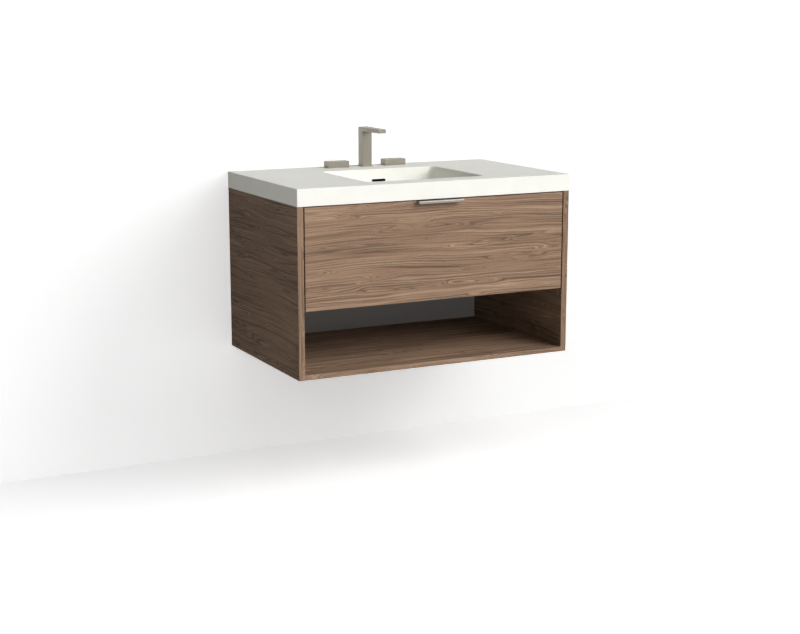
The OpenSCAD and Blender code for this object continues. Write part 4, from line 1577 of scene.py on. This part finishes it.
@dataclass(frozen=True)
class Lamp:
    """A far lamp, placed by where its light comes from.

    Attributes:
        bearing: Where it stands as seen from above, in degrees: 0 in front, 90 on the right.
        height: How high it stands, in degrees.
        power: How strong it is.
        spread: How broad it looks, in degrees.
        tint: Its light's colour.
    """

    name: str
    bearing: float
    height: float
    power: float
    spread: float = 44.0
    tint: Colour = (1.0, 1.0, 1.0)

    def hang(self) -> bpy.types.Object:
        """Hangs the lamp.

        Returns:
            The lamp's object.
        """
        light = bpy.data.lights.new(self.name, "SUN")
        light.energy = self.power
        light.color = self.tint
        light.angle = math.radians(self.spread)
        lamp = bpy.data.objects.new(self.name, light)
        bpy.context.scene.collection.objects.link(lamp)
        turn, lift = math.radians(self.bearing), math.radians(self.height)
        source = Vector((math.sin(turn) * math.cos(lift), -math.cos(turn) * math.cos(lift), math.sin(lift)))
        lamp.rotation_euler = (-source).to_track_quat("-Z", "Y").to_euler()
        return lamp


@dataclass
class Studio:
    """Floor, wall, lamps, world and camera.

    Attributes:
        reach: How far the floor and the wall reach.
        floor_z: The floor's height.
        wall_y: The wall's face, a hair behind the vanity's back.
        ambient: The surroundings' light on the vanity.
        eye: Where the camera stands.
        turn: How far the camera looks to the right, in degrees.
        dip: How far it looks down, in degrees.
        lens: Its focal length, in millimetres.
        sensor: Its sensor's width, in millimetres.
        sight: How far it sees.
        niche: Half the width, the bottom and the top of the wall behind the open cabinet, where the paper
            has painted shade.
        lamps: What lights the vanity from the front.
        back: What lights it from behind.
        paper_lamps: What lights the floor and the wall.
        shading_top: The height that a piece starts below if it shades the floor and the wall.
    """

    reach: float = 30.0
    floor_z: float = -0.8136
    wall_y: float = 0.2 * MM
    ambient: float = 0.02
    eye: tuple[float, float, float] = (-2.1381, -4.5279, 0.5948)
    turn: float = 26.80
    dip: float = 11.32
    lens: float = 68.83
    sensor: float = 36.0
    sight: float = 200.0
    niche: tuple[float, float, float] = (0.445, -0.45, 0.04)
    lamps: tuple[Lamp, ...] = (
        Lamp("key", 44.0, 30.0, 1.40),
        Lamp("front", 26.0, 30.0, 1.50),
        Lamp("side", 62.0, 15.0, 0.50),
        Lamp("left", -30.0, 15.0, 0.30, tint=srgb(255, 243, 216)),
    )
    back: Lamp = Lamp("back", 180.0, 0.0, 2.2, spread=4.0)
    paper_lamps: tuple[Lamp, ...] = (
        Lamp("paper_right", 62.0, 30.0, 1.75),
        Lamp("paper_left", -55.0, 30.0, 0.76),
        Lamp("paper_top", 8.0, 45.0, 0.62),
    )
    shading_top: float = 95 * MM

    def plane(
        self, name: str, corners: Sequence[tuple[float, float, float]], finish: Finish
    ) -> bpy.types.Object:
        """Adds one flat sheet to the stage.

        Args:
            name: Its name.
            corners: Its corners, anticlockwise as seen from its front.
            finish: Its finish.

        Returns:
            The sheet.
        """
        mesh = bpy.data.meshes.new(name)
        mesh.from_pydata(corners, [], [tuple(range(len(corners)))])
        mesh.materials.append(finish.material())
        sheet = bpy.data.objects.new(name, mesh)
        bpy.context.scene.collection.objects.link(sheet)
        return sheet

    @staticmethod
    def group(name: str, things: Sequence[bpy.types.Object]) -> bpy.types.Collection:
        """Puts things in a group that lamps can be linked to.

        Args:
            name: The group's name.
            things: What goes in it.

        Returns:
            The group.
        """
        made = bpy.data.collections.new(name)
        for thing in things:
            made.objects.link(thing)
        return made

    def hang_lamps(self, pieces: Sequence[bpy.types.Object], sheets: Sequence[bpy.types.Object]) -> None:
        """Hangs lamps for the vanity alone, and others for the paper, where the tap casts no shadow.

        Args:
            pieces: The vanity's pieces.
            sheets: The floor and the wall.
        """
        low = [thing for thing in pieces if min(corner[2] for corner in thing.bound_box) < self.shading_top]
        vanity, paper = self.group("vanity", pieces), self.group("paper", sheets)
        below_tap = self.group("below_tap", low)
        for lamps, lit, shading in (
            ((*self.lamps, self.back), vanity, vanity),
            (self.paper_lamps, paper, below_tap),
        ):
            for lamp in lamps:
                linking = lamp.hang().light_linking
                linking.receiver_collection = lit
                linking.blocker_collection = shading

    def build(self) -> None:
        """Builds the stage, hangs the lamps and sets the camera."""
        pieces = [thing for thing in bpy.context.scene.objects if thing.type == "MESH"]
        r, z, y = self.reach, self.floor_z, self.wall_y
        white = Backdrop("floor_white", glow=0.43, shade=0.99, sent=0.80)
        floor = self.plane("floor", [(-r, -r, z), (r, -r, z), (r, r, z), (-r, r, z)], white)
        white = Backdrop("wall_white", glow=0.356, shade=1.0, sent=0.25, see_through=True, niche=self.niche)
        wall = self.plane("wall", [(-r, y, z), (r, y, z), (r, y, r), (-r, y, r)], white)
        self.hang_lamps(pieces, [floor, wall])
        self.set_world()
        self.set_camera()

    def set_world(self) -> None:
        """Makes the surroundings white to the camera and gloss, and dim as a source of light."""
        world = bpy.data.worlds.new("surroundings")
        bpy.context.scene.world = world
        world.use_nodes = True
        tree = world.node_tree
        path = tree.nodes.new("ShaderNodeLightPath")
        shown = tree.nodes.new("ShaderNodeMath")
        shown.operation = "MAXIMUM"
        tree.links.new(path.outputs["Is Camera Ray"], shown.inputs[0])
        tree.links.new(path.outputs["Is Glossy Ray"], shown.inputs[1])
        level = tree.nodes.new("ShaderNodeMapRange")
        level.inputs["To Min"].default_value = self.ambient
        level.inputs["To Max"].default_value = 1.0
        tree.links.new(shown.outputs[0], level.inputs["Value"])
        background = tree.nodes["Background"]
        background.inputs[0].default_value = (1.0, 1.0, 1.0, 1.0)
        tree.links.new(level.outputs[0], background.inputs[1])

    def set_camera(self) -> None:
        """Puts the camera where the vanity was seen from."""
        camera = bpy.data.cameras.new("camera")
        camera.lens = self.lens
        camera.sensor_width = self.sensor
        camera.clip_end = self.sight
        stand = bpy.data.objects.new("camera", camera)
        bpy.context.scene.collection.objects.link(stand)
        turn, dip = math.radians(self.turn), math.radians(self.dip)
        ahead = Vector((math.sin(turn) * math.cos(dip), math.cos(turn) * math.cos(dip), -math.sin(dip)))
        stand.location = self.eye
        stand.rotation_euler = ahead.to_track_quat("-Z", "Y").to_euler()
        bpy.context.scene.camera = stand
        bpy.context.scene.view_settings.view_transform = "Standard"


def main() -> None:
    """Builds the vanity's looks, sub-assembly by sub-assembly, and the studio round it."""
    logging.basicConfig(level=logging.INFO, format="%(name)s: %(message)s")
    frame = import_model()
    bench = Bench(frame)
    for assembly in (Cabinet, Counter, Drain, Tap, Drawer, Slides):
        assembly(bench).build()
    Studio().build()


if __name__ == "__main__":
    main()
